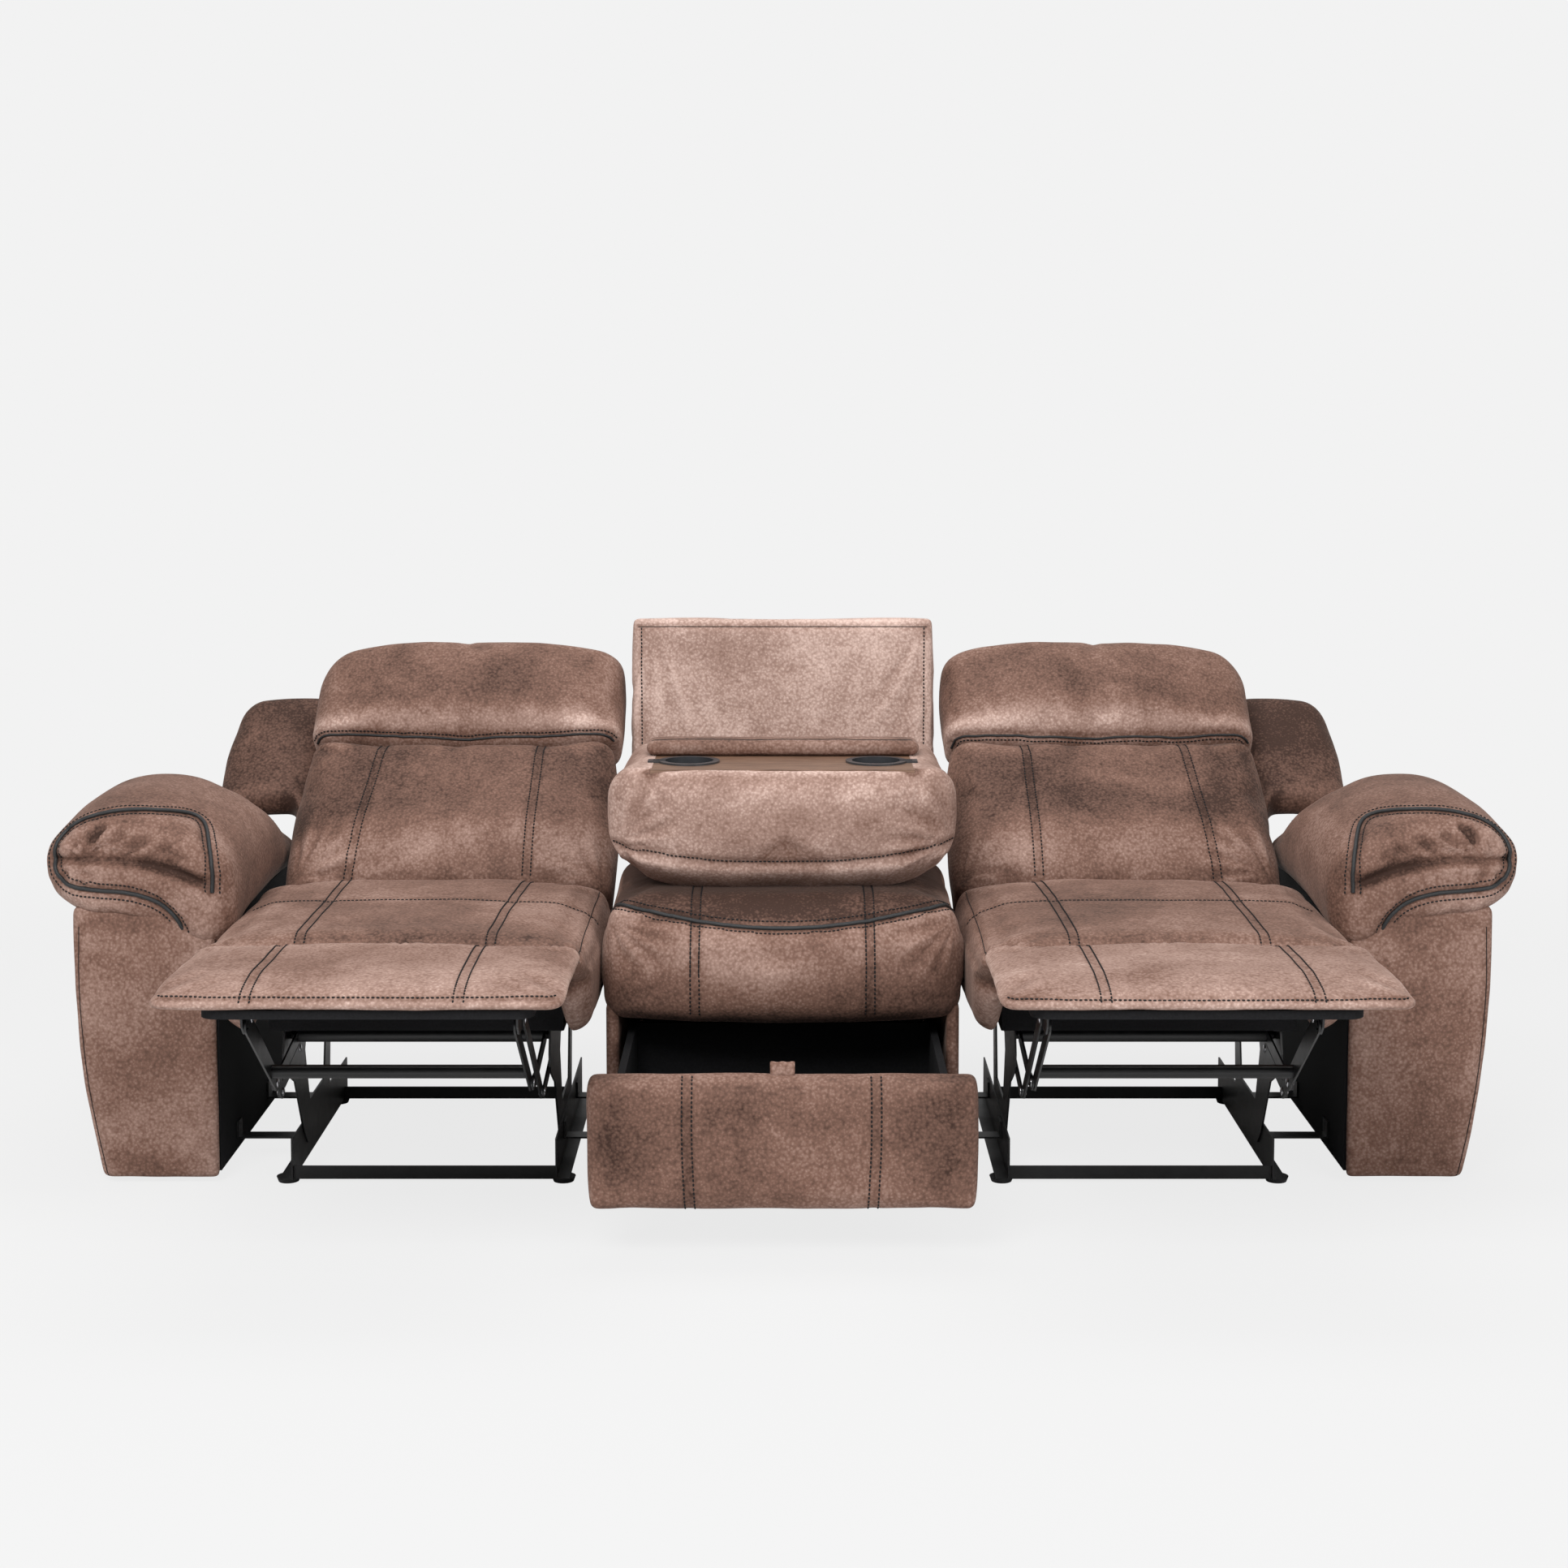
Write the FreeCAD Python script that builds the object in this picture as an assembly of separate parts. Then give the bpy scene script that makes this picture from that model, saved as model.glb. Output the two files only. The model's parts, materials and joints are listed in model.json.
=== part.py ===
import FreeCAD, Part
import math
import os

# Reclining sofa with a drop down console in its middle seat.
# X runs to the right as the viewer faces the sofa, Y runs to the back, Z up from the floor, in mm.
# The sofa stands as in use: both footrests out, both backs down, the console down, the drawer out.

V = FreeCAD.Vector

# whole sofa
overall_width = 2290.0
# sizes across the sofa keep their share of its width
across = overall_width / 2290.0
arm_front_y = -440.0
arm_length = 640.0
arm_height = 610.0
floor_gap = 18.0

# recliner seats
seat_centre_x = 566.0 * across
seat_width = 560.0 * across
seat_top_z = 437.0
seat_front_y = -664.0
seat_rear_y = -123.0
skirt_bottom_z = 262.0
box_width = 450.0 * across
box_front_y = -512.0
box_rear_y = -135.0
box_bottom_z = 262.0
box_height = 66.0
board = 20.0

# reclining backs
back_pivot_y = -85.0
back_pivot_z = 395.0
back_lean = 50.0
back_length = 556.0
back_width = 560.0 * across
lumbar_length = 322.0
back_roll = 36.0
back_pad_depth = 80.0
back_frame_depth = 29.0
wing_width = 160.0 * across

# middle seat, drawer and console
middle_width = 556.0 * across
middle_top_z = 448.0
middle_front_y = -455.0
middle_rear_y = 235.0
side_board = 20.0
drawer_width = 500.0 * across
drawer_open = 300.0
drawer_depth = 400.0
drawer_front_thick = 44.0
drawer_bottom_z = 72.0
drawer_top_z = 264.0
console_length = 375.0
console_top_z = 645.0
console_bottom_z = 454.0
console_pivot_z = 490.0
tray_width = 416.0 * across
tray_thick = 10.0
cup_radius = 39.0
cup_depth = 62.0
cup_spacing = tray_width * 300.0 / 416.0
cup_setback = 89.0
bar_setback = 150.0
panel_lean = 12.0
panel_offset = 187.0
panel_width = 540.0 * across
panel_height = 390.0
panel_thick = 60.0

# steel parts of the footrest mechanism
mech_centre_x = 560.0 * across
mech_half = 205.0 * across
plate = 3.0
layer = 4.0
pin_radius = 4.0
running_fit = 0.05
link_width = 22.0
tube_radius = 11.0
angle_leg = 22.0
angle_thick = 2.5
glide_height = 8.0
glide_radius = 19.0
base_front_y = -446.0
base_rear_y = 52.0
tie_width = 30.0
origin_y = -480.0

# gap that keeps moving pieces apart
clear = 0.5


def box(x0, x1, y0, y1, z0, z1):
    return Part.makeBox(x1 - x0, y1 - y0, z1 - z0, V(x0, y0, z0))


def cyl(x, y, z, radius, length, axis):
    return Part.makeCylinder(radius, length, V(x, y, z), axis)


def path(points):
    # a point of two numbers is reached by a line, a point of four by an arc through its first pair
    start = V(points[0][0], points[0][1], 0)
    edges = []
    here = start
    for item in points[1:]:
        end = V(item[-2], item[-1], 0)
        if len(item) == 2:
            edges.append(Part.makeLine(here, end))
        else:
            edges.append(Part.Arc(here, V(item[0], item[1], 0), end).toShape())
        here = end
    if (here - start).Length > 1e-6:
        edges.append(Part.makeLine(here, start))
    return Part.Wire(edges)


def extrude_xy(points, z0, z1):
    face = Part.Face(path(points))
    face.translate(V(0, 0, z0))
    return face.extrude(V(0, 0, z1 - z0))


def extrude_yz(points, x0, x1):
    face = Part.Face(path(points))
    face.Placement = FreeCAD.Placement(V(x0, 0, 0), FreeCAD.Rotation(V(0, 1, 0), V(0, 0, 1), V(1, 0, 0)))
    return face.extrude(V(x1 - x0, 0, 0))


def extrude_xz(points, y0, y1):
    face = Part.Face(path(points))
    face.Placement = FreeCAD.Placement(V(0, y0, 0), FreeCAD.Rotation(V(1, 0, 0), V(0, 0, 1), V(0, -1, 0)))
    return face.extrude(V(0, y1 - y0, 0))


def rounded(a0, a1, b0, b1, r, low=0.0, high=0.0, left=0.0, right=0.0):
    # rounded rectangle whose four sides bow outward, all of it inside the given limits
    c0 = a0 + left
    c1 = a1 - right
    d0 = b0 + low
    d1 = b1 - high
    k = r * (1 - math.sqrt(0.5))
    am = (a0 + a1) / 2
    bm = (b0 + b1) / 2
    points = [(c0 + r, d0)]
    points.append((am, b0, c1 - r, d0) if low else (c1 - r, d0))
    points.append((c1 - k, d0 + k, c1, d0 + r))
    points.append((a1, bm, c1, d1 - r) if right else (c1, d1 - r))
    points.append((c1 - k, d1 - k, c1 - r, d1))
    points.append((am, b1, c0 + r, d1) if high else (c0 + r, d1))
    points.append((c0 + k, d1 - k, c0, d1 - r))
    points.append((a0, bm, c0, d0 + r) if left else (c0, d0 + r))
    points.append((c0 + k, d0 + k, c0 + r, d0))
    return points


def mirror(shape):
    return shape.mirror(V(0, 0, 0), V(1, 0, 0))


def both(shape):
    return Part.makeCompound([shape, mirror(shape)])


def group(shapes):
    return Part.makeCompound(shapes)


def turn_back(shape):
    # from the back's own plane (Y across its depth, Z along its length) to the reclined place
    shape.rotate(V(0, 0, 0), V(1, 0, 0), -back_lean)
    shape.translate(V(0, back_pivot_y, back_pivot_z))
    return shape


def turn_panel(shape):
    shape.rotate(V(0, 0, 0), V(1, 0, 0), -panel_lean)
    shape.translate(V(0, 0, console_pivot_z))
    return shape


# arms

arm_outer = overall_width / 2
arm_inner = 880.0 * across
arm_inner_pad = arm_inner - 27.0 * across
arm_rear_y = arm_front_y + arm_length
body_top_z = 400.0
wall = 12.0


arm_foot_inset = 95.0
arm_top_inset = 45.0


def arm_side(z):
    # X of the sloping outer face at a height
    share = (z - floor_gap) / (body_top_z - floor_gap)
    return arm_outer - arm_foot_inset + share * (arm_foot_inset - arm_top_inset)


def arm_body():
    # upholstered front, outer and rear panels round a hollow that the frame fills
    low = floor_gap
    high = body_top_z
    outer = [(arm_inner, low), (arm_side(low), low), (arm_side(high), high), (arm_inner, high)]
    solid = extrude_xz(outer, arm_front_y, arm_rear_y)
    inner = [(arm_inner - 1, low - 1), (arm_side(low - 1) - wall, low - 1)]
    inner += [(arm_side(high + 1) - wall, high + 1), (arm_inner - 1, high + 1)]
    return solid.cut(extrude_xz(inner, arm_front_y + wall, arm_rear_y - wall))


def arm_frame():
    # sill, seat of the pads, and two posts of wood
    y0 = arm_front_y + wall
    y1 = arm_rear_y - wall
    x0 = arm_inner + wall
    sill = box(x0, arm_side(floor_gap) - wall, y0, y1, floor_gap, floor_gap + 2 * board)
    low = body_top_z - board
    slope = [(x0, low), (arm_side(low) - wall, low), (arm_side(body_top_z) - wall, body_top_z), (x0, body_top_z)]
    top = extrude_xz(slope, y0, y1)
    posts = []
    for y in (y0, (y0 + y1) / 2 - board, y1 - 2 * board):
        posts.append(box(x0, x0 + 60, y, y + 2 * board, floor_gap + 2 * board, body_top_z - board))
    return sill.fuse([top] + posts).removeSplitter()


def arm_lining():
    return box(arm_inner, arm_inner + wall, arm_front_y + wall, arm_rear_y - wall, floor_gap, body_top_z)


def arm_feet():
    feet = []
    for x in (arm_inner + 45, arm_outer - 140):
        for y in (arm_front_y + 60, arm_rear_y - 60):
            feet.append(Part.makeCone(glide_radius, glide_radius + 3, floor_gap, V(x, y, 0), V(0, 0, 1)))
    return feet


def arm_lower_pad():
    # slim roll between the arm body and the pillow top, rounded at both ends
    z0 = body_top_z
    z1 = 482.0
    section = [(arm_inner - 4, z0), (arm_outer - 40, z0), (arm_outer - 16, z0 + 38, arm_outer - 22, z1)]
    section += [(arm_inner, z1), (arm_inner - 14, z0 + 42, arm_inner - 4, z0)]
    solid = extrude_xz(section, arm_front_y - 14, arm_rear_y - 30)
    side = [(arm_front_y + 4, z0), (arm_front_y - 12, z0 + 42, arm_front_y, z1), (20.0, z1)]
    side += [(arm_rear_y - 130, z1 - 8, arm_rear_y - 62, z0)]
    return solid.common(extrude_yz(side, arm_inner - 40, arm_outer))


def arm_upper_pad():
    # pillow top: an oval roll, highest in its front third and sloping down to the back
    z0 = 482.0
    x0 = arm_inner_pad
    x1 = arm_outer
    xm = (x0 + x1) / 2
    section = [(x0 + 22, z0), (x1 - 24, z0), (x1 + 0.0, z0 + 40, x1 - 26, z0 + 84)]
    section += [(xm + 2, arm_height, x0 + 34, z0 + 92), (x0, z0 + 45, x0 + 22, z0)]
    solid = extrude_xz(section, arm_front_y - 30, 90.0)
    side = [(arm_front_y + 6, z0), (arm_front_y - 10, z0 + 56, arm_front_y + 16, z0 + 104)]
    side += [(arm_front_y + 160, arm_height, arm_front_y + 330, z0 + 118)]
    side += [(40.0, z0 + 86, 78.0, z0)]
    return solid.common(extrude_yz(side, x0 - 5, x1 + 5))


# recliner seats, drawn for the right hand seat

box_x0 = mech_centre_x - box_width / 2
box_x1 = mech_centre_x + box_width / 2
seat_x0 = seat_centre_x - seat_width / 2
seat_x1 = seat_centre_x + seat_width / 2
box_top_z = box_bottom_z + box_height
hinge_half = 256.0 * across
hinge_x0 = seat_centre_x - hinge_half
hinge_x1 = seat_centre_x + hinge_half


def seat_box():
    front = box(box_x0, box_x1, box_front_y, box_front_y + board, box_bottom_z, box_top_z)
    sides = []
    for x in (box_x0, box_x1 - board):
        sides.append(box(x, x + board, box_front_y + board, box_rear_y, box_bottom_z, box_top_z))
    rear = box(hinge_x0, hinge_x1, box_rear_y, box_rear_y + board, box_bottom_z, box_top_z)
    middle = box(box_x0 + board, box_x1 - board, -330.0, -330.0 + board, box_bottom_z, box_bottom_z + 45)
    return front.fuse(sides + [rear, middle]).removeSplitter()


def seat_webbing():
    # straps stretched from the front board to the rear board
    straps = []
    width = 56.0
    count = 6
    span = box_width - 2 * board - width
    for i in range(count):
        x = box_x0 + board + span * i / (count - 1)
        straps.append(box(x, x + width, box_front_y + 4, box_rear_y + board - 4, box_top_z, box_top_z + 2))
    return straps


def seat_cushion():
    # thick pad with a crowned top, drawn-in sides that hang beside the seat box and a rounded nose
    low = box_top_z + 2
    gap = 1.0
    top = seat_top_z
    section = [(seat_x0 + 3, skirt_bottom_z), (seat_x0 - 0.0, 350, seat_x0 + 14, top - 26)]
    section += [(seat_x0 + 20, top - 12, seat_x0 + 44, top - 7), (seat_centre_x, top, seat_x1 - 44, top - 7)]
    section += [(seat_x1 - 20, top - 12, seat_x1 - 14, top - 26), (seat_x1, 350, seat_x1 - 3, skirt_bottom_z)]
    section += [(box_x1 + gap, skirt_bottom_z), (box_x1 + gap, low), (box_x0 - gap, low), (box_x0 - gap, skirt_bottom_z)]
    solid = extrude_xz(section, seat_front_y, seat_rear_y)
    side = [(box_front_y - 34, skirt_bottom_z), (box_front_y - 52, skirt_bottom_z + 45, box_front_y - 60, 362)]
    side += [(seat_front_y + 30, 366), (seat_front_y, 384, seat_front_y + 12, 412)]
    side += [(seat_front_y + 60, top, seat_front_y + 170, top), (seat_rear_y - 60, top)]
    side += [(seat_rear_y - 16, top - 6, seat_rear_y - 4, top - 42), (seat_rear_y - 4, low)]
    side += [(box_rear_y - 14, low), (box_rear_y - 14, skirt_bottom_z)]
    solid = solid.common(extrude_yz(side, seat_x0 - 5, seat_x1 + 5))
    return solid.cut(box(box_x0 - gap, box_x1 + gap, box_front_y - 70, box_front_y + 1, 200, 362))


# footrest linkage, drawn for the right hand side of the right seat
# every pivot is given as (Y, Z) from the front of the seat box with the footrest out

pivot_a = (75.37, 207.29)
pivot_c = (31.61, 239.92)
pivot_e = (-84.63, 182.17)
pivot_g = (-128.85, 214.37)
pivot_h = (-164.73, 217.06)
pivot_o = (-316.30, 350.87)
pivot_q = (-361.30, 352.11)
stub_slack = 1.0
eye_slack = 3.2
rest_centre = -350.0
rest_plane = 375.0
rest_length = 310.0
rest_board_gap = 17.0
rest_board = 12.0
rest_pad = 33.0


def at(pivot):
    return V(0, origin_y + pivot[0], pivot[1])


def bar(pivots, x, width, holes):
    # flat link with round ends through its pivots
    body = None
    for p, q in zip(pivots, pivots[1:]):
        a = at(p)
        b = at(q)
        along = (b - a).normalize()
        side = V(0, -along.z, along.y) * (width / 2)
        corners = [a + side, b + side, b - side, a - side]
        wire = Part.makePolygon(corners + [corners[0]])
        piece = Part.Face(wire).extrude(V(plate, 0, 0))
        body = piece if body is None else body.fuse(piece)
    for p in pivots:
        body = body.fuse(cyl(0, at(p).y, at(p).z, width / 2, plate, V(1, 0, 0)))
    body = body.removeSplitter()
    for p in holes:
        body = body.cut(cyl(-1, at(p).y, at(p).z, pin_radius + running_fit, plate + 2, V(1, 0, 0)))
    body.translate(V(x, 0, 0))
    return body


def pin(pivot, x0, x1, head):
    # shank with a low head on its free end
    shank = cyl(x0, at(pivot).y, at(pivot).z, pin_radius, x1 - x0, V(1, 0, 0))
    if head > 0:
        return shank.fuse(cyl(x1, at(pivot).y, at(pivot).z, pin_radius + 2.5, head, V(1, 0, 0)))
    if head < 0:
        return shank.fuse(cyl(x0 + head, at(pivot).y, at(pivot).z, pin_radius + 2.5, -head, V(1, 0, 0)))
    return shank


def layers(sign):
    # X of the near face of each plate, counted inward from the carrier plate on that side
    base = mech_centre_x + sign * mech_half
    if sign > 0:
        return [base - plate - i * layer for i in range(5)]
    return [base + i * layer for i in range(5)]


def carrier_plate(sign):
    # side plate that hangs from the seat box and stands on the base rail, with its two fixed pins
    x = layers(sign)
    outline = [(-20, box_bottom_z), (-34, 226), (-30, 205), (-10, 190), (30, 170), (52, 160), (120, 60), (150, 34)]
    outline += [(320, 34), (345, 60), (366, 210), (376, box_bottom_z)]
    points = [(origin_y + p[0], p[1]) for p in outline]
    body = extrude_yz(points, x[0], x[0] + plate)
    hole = [(170, 100), (300, 100), (322, 190), (322, 214), (150, 214), (136, 190)]
    body = body.cut(extrude_yz([(origin_y + p[0], p[1]) for p in hole], x[0] - 1, x[0] + plate + 1))
    flange_x = x[0] if sign < 0 else x[0] + plate
    lip = box(min(flange_x, flange_x + sign * 20), max(flange_x, flange_x + sign * 20), origin_y - 18,
              origin_y + 340, box_bottom_z - plate, box_bottom_z)
    body = body.fuse(lip)
    if sign > 0:
        body = body.fuse(pin(pivot_a, x[1] - 0.6, x[0] + 0.5, 0))
        body = body.fuse(bush(pivot_c, x[2] - 0.6, x[0] + 0.5))
        body = body.fuse(pin(pivot_c, x[3] - 0.4, x[2] - 0.5, 0))
    else:
        body = body.fuse(pin(pivot_a, x[0] + plate - 0.5, x[1] + plate + 0.6, 0))
        body = body.fuse(bush(pivot_c, x[0] + plate - 0.5, x[2] + plate + 0.6))
        body = body.fuse(pin(pivot_c, x[2] + plate + 0.5, x[3] + plate + 0.4, 0))
    return body.removeSplitter()


def bush(pivot, x0, x1):
    return cyl(x0, at(pivot).y, at(pivot).z, 6.5, x1 - x0, V(1, 0, 0))


def link_a():
    # lower rear links, one on each side, with the pins that carry the long links
    parts = []
    for sign in (1, -1):
        x = layers(sign)
        body = bar([pivot_a, pivot_e], x[1], 19.0, [pivot_a])
        if sign > 0:
            body = body.fuse(pin(pivot_e, x[2] - 0.4, x[1] + 0.5, 0))
        else:
            body = body.fuse(pin(pivot_e, x[1] + plate - 0.5, x[2] + plate + 0.4, 0))
        parts.append(body)
    return group(parts)


def link_b():
    # long front links, with the pins that carry the footrest brackets
    parts = []
    for sign in (1, -1):
        x = layers(sign)
        body = bar([pivot_e, pivot_g, pivot_o], x[2], link_width, [pivot_e])
        body = body.cut(cyl(x[2] - 1, at(pivot_g).y, at(pivot_g).z, pin_radius + stub_slack, plate + 2, V(1, 0, 0)))
        if sign > 0:
            body = body.fuse(pin(pivot_o, x[3] - 0.4, x[2] + 0.5, 0))
        else:
            body = body.fuse(pin(pivot_o, x[2] + plate - 0.5, x[3] + plate + 0.4, 0))
        parts.append(body)
    return group(parts)


def link_c():
    # upper rear links joined by the upper torque tube; the stub at the crossing enters the long link
    parts = []
    x_in = []
    for sign in (1, -1):
        x = layers(sign)
        body = bar([pivot_c, pivot_g, pivot_h], x[3], link_width, [pivot_c])
        if sign > 0:
            body = body.fuse(pin(pivot_g, x[3] + plate - 0.5, x[2] + plate - 0.4, 0))
            body = body.fuse(pin(pivot_h, x[4] - 0.4, x[3] + 0.5, 0))
            x_in.append(x[3])
        else:
            body = body.fuse(pin(pivot_g, x[2] + 0.4, x[3] + 0.5, 0))
            body = body.fuse(pin(pivot_h, x[3] + plate - 0.5, x[4] + plate + 0.4, 0))
            x_in.append(x[3] + plate)
        parts.append(body)
    centre = at(pivot_c)
    tube = cyl(x_in[1], centre.y, centre.z, tube_radius, x_in[0] - x_in[1], V(1, 0, 0))
    tube = tube.cut(cyl(x_in[1] - 1, centre.y, centre.z, tube_radius - 1.8, x_in[0] - x_in[1] + 2, V(1, 0, 0)))
    for p in (parts[0], parts[1]):
        tube = tube.fuse(p)
    for sign in (1, -1):
        x = layers(sign)
        tube = tube.cut(cyl(x[3] - 1, centre.y, centre.z, pin_radius + running_fit, plate + 2, V(1, 0, 0)))
    return tube.removeSplitter()


def link_d():
    # long rear links joined by the lower torque tube, which hangs on short lugs under the lower pivot
    parts = []
    x_in = []
    for sign in (1, -1):
        x = layers(sign)
        body = bar([pivot_h, pivot_q], x[4], link_width + 2, [pivot_h])
        body = body.cut(cyl(x[4] - 1, at(pivot_q).y, at(pivot_q).z, pin_radius + eye_slack, plate + 2, V(1, 0, 0)))
        parts.append(body)
        x_in.append(x[4] if sign > 0 else x[4] + plate)
    spot = (pivot_h[0] - 33.0, pivot_h[1] + 25.7)
    centre = at(spot)
    tube = cyl(x_in[1], centre.y, centre.z, tube_radius - 1, x_in[0] - x_in[1], V(1, 0, 0))
    tube = tube.cut(cyl(x_in[1] - 1, centre.y, centre.z, tube_radius - 2.8, x_in[0] - x_in[1] + 2, V(1, 0, 0)))
    return tube.fuse(parts).removeSplitter()


def rest_bracket():
    # bent plates screwed under the footrest board; each takes the ends of two long links
    parts = []
    z_board = rest_plane + rest_board_gap
    for sign in (1, -1):
        x = layers(sign)[3]
        a = at(pivot_o)
        b = at(pivot_q)
        outline = [(a.y + 13, a.z - 4), (a.y, a.z - 13), (b.y, b.z - 13), (b.y - 14, b.z)]
        outline += [(b.y - 22, z_board), (a.y + 60, z_board), (a.y + 56, z_board - 10)]
        body = extrude_yz(outline, x, x + plate)
        inner = x if sign > 0 else x + plate
        x_a = min(inner, inner - sign * 26)
        body = body.fuse(box(x_a, x_a + 26, b.y - 22, a.y + 60, z_board - plate, z_board))
        body = body.cut(cyl(x - 1, a.y, a.z, pin_radius + running_fit, plate + 2, V(1, 0, 0)))
        if sign > 0:
            body = body.fuse(pin(pivot_q, layers(1)[4] - 0.4, x + 0.5, 0))
        else:
            body = body.fuse(pin(pivot_q, x + plate - 0.5, layers(-1)[4] + plate + 0.4, 0))
        parts.append(body.removeSplitter())
    return group(parts)


def rest_panel():
    y0 = origin_y + rest_centre - rest_length / 2
    z = rest_plane + rest_board_gap
    plan = rounded(box_x0, box_x1, y0 + 14, y0 + rest_length - 8, 24)
    return extrude_xy(plan, z, z + rest_board)


def rest_cushion():
    y0 = origin_y + rest_centre - rest_length / 2
    y1 = y0 + rest_length
    z0 = rest_plane + rest_board_gap + rest_board
    z1 = z0 + rest_pad
    section = [(seat_x0 + 16, z0), (seat_x1 - 16, z0), (seat_x1, z0 + 12, seat_x1 - 14, z0 + 23)]
    section += [(seat_centre_x, z1, seat_x0 + 14, z0 + 23), (seat_x0, z0 + 12, seat_x0 + 16, z0)]
    side = [(y0 + 12, z0), (y1 - 5, z0), (y1, z0 + 15, y1 - 8, z0 + 26)]
    side += [((y0 + y1) / 2, z1, y0 + 14, z0 + 21), (y0, z0 + 9, y0 + 12, z0)]
    plan = rounded(seat_x0 - 3, seat_x1 + 3, y0 - 3, y1 + 3, 36)
    solid = extrude_xz(section, y0, y1).common(extrude_yz(side, seat_x0, seat_x1))
    return solid.common(extrude_xy(plan, z0 - 1, z1 + 1))


# base under each recliner seat

def base_rails():
    # angle irons on the glides; their tall webs carry the side plates
    rails = []
    for sign in (1, -1):
        x = mech_centre_x + sign * mech_half
        x_web = min(x, x + sign * angle_thick)
        x_foot = min(x, x + sign * angle_leg)
        web = box(x_web, x_web + angle_thick, base_front_y, base_rear_y, glide_height, glide_height + 3 * angle_leg)
        foot = box(x_foot, x_foot + angle_leg, base_front_y, base_rear_y, glide_height, glide_height + angle_thick)
        rails.append(web.fuse(foot).removeSplitter())
    return rails


def base_bars():
    # front and rear angle bars that tie the two rails
    bars = []
    x0 = mech_centre_x - mech_half
    x1 = mech_centre_x + mech_half
    z0 = glide_height
    for y, lip in ((base_front_y + 6, 1), (base_rear_y - 30, 1)):
        flat = box(x0, x1, y, y + angle_leg, z0, z0 + angle_thick)
        up = box(x0, x1, y, y + angle_thick, z0 + angle_thick, z0 + angle_leg - 1)
        bars.append(flat.fuse(up).removeSplitter())
    return bars


def tie(x0, x1, y):
    # flat bar with turned-up ends, screwed to the rail's web at one end and to a side at the other
    z = glide_height + angle_leg + 6
    body = box(x0, x1, y, y + tie_width, z, z + plate)
    ends = [box(x0, x0 + plate, y, y + tie_width, z, z + 28), box(x1 - plate, x1, y, y + tie_width, z, z + 28)]
    return body.fuse(ends).removeSplitter()


def base_ties():
    # ties from each mechanism to the arm and to the middle seat
    rail_out = mech_centre_x + mech_half + angle_thick
    rail_in = mech_centre_x - mech_half - angle_thick
    parts = []
    for y in (base_front_y + 130, base_rear_y - 130):
        parts.append(tie(rail_out, arm_inner, y))
        parts.append(tie(half_middle - 4, rail_in, y))
    return parts


def base_glides():
    glides = []
    for sign in (1, -1):
        for y in (base_front_y + 24, base_rear_y - 24):
            x = mech_centre_x + sign * (mech_half + 11)
            glides.append(Part.makeCone(glide_radius - 3, glide_radius, glide_height, V(x, y, 0), V(0, 0, 1)))
    return glides


# reclining back, drawn upright in its own plane and then laid back

def back_hinge_fixed():
    # plates on the ends of the rear board, with the hinge pins
    parts = []
    for sign in (1, -1):
        x = hinge_x1 if sign > 0 else hinge_x0 - plate
        outline = [(box_rear_y, box_bottom_z + 6), (box_rear_y + 50, box_bottom_z + 6), (back_pivot_y + 16, 350.0)]
        outline += [(back_pivot_y + 15, back_pivot_z), (back_pivot_y, back_pivot_z + 15, back_pivot_y - 15, back_pivot_z)]
        outline += [(back_pivot_y - 16, 362.0), (box_rear_y, box_bottom_z + 50)]
        body = extrude_yz(outline, x, x + plate)
        far = x + plate if sign > 0 else x - plate - 1.2
        near = x + plate - 0.5 if sign > 0 else x - plate - 0.7
        body = body.fuse(cyl(near, back_pivot_y, back_pivot_z, 6.0, plate + 1.2, V(1, 0, 0)))
        parts.append(body.removeSplitter())
    return parts


def back_hinge_moving():
    parts = []
    for sign in (1, -1):
        x = hinge_x1 + plate + clear if sign > 0 else hinge_x0 - 2 * plate - clear
        v0 = -back_pad_depth
        outline = [(-15, 0), (0, -15, 15, 0), (16, 10), (-v0 + back_frame_depth - 4, 70), (-v0 + back_frame_depth - 4, 220)]
        outline += [(-v0 + 4, 220), (-v0 + 4, 86), (-15, 16)]
        body = extrude_yz(outline, x, x + plate)
        body = body.cut(cyl(x - 1, 0, 0, 6.0 + running_fit, plate + 2, V(1, 0, 0)))
        parts.append(turn_back(body))
    return group(parts)


def back_frame():
    # plywood panel with side rails and cross rails behind the pads
    half = hinge_half + plate + clear
    x0 = seat_centre_x - half
    x1 = seat_centre_x + half
    y0 = back_pad_depth
    y1 = y0 + back_frame_depth
    panel = box(x0, x1, y0, y0 + 9, 44, back_length - 30)
    rails = []
    for x in (x0, x1 - 40):
        rails.append(box(x, x + 40, y0 + 9, y1, 44, back_length - 30))
    for z in (44, 200, back_length - 80):
        rails.append(box(x0 + 40, x1 - 40, y0 + 9, y1, z, z + 50))
    return turn_back(panel.fuse(rails).removeSplitter())


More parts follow.
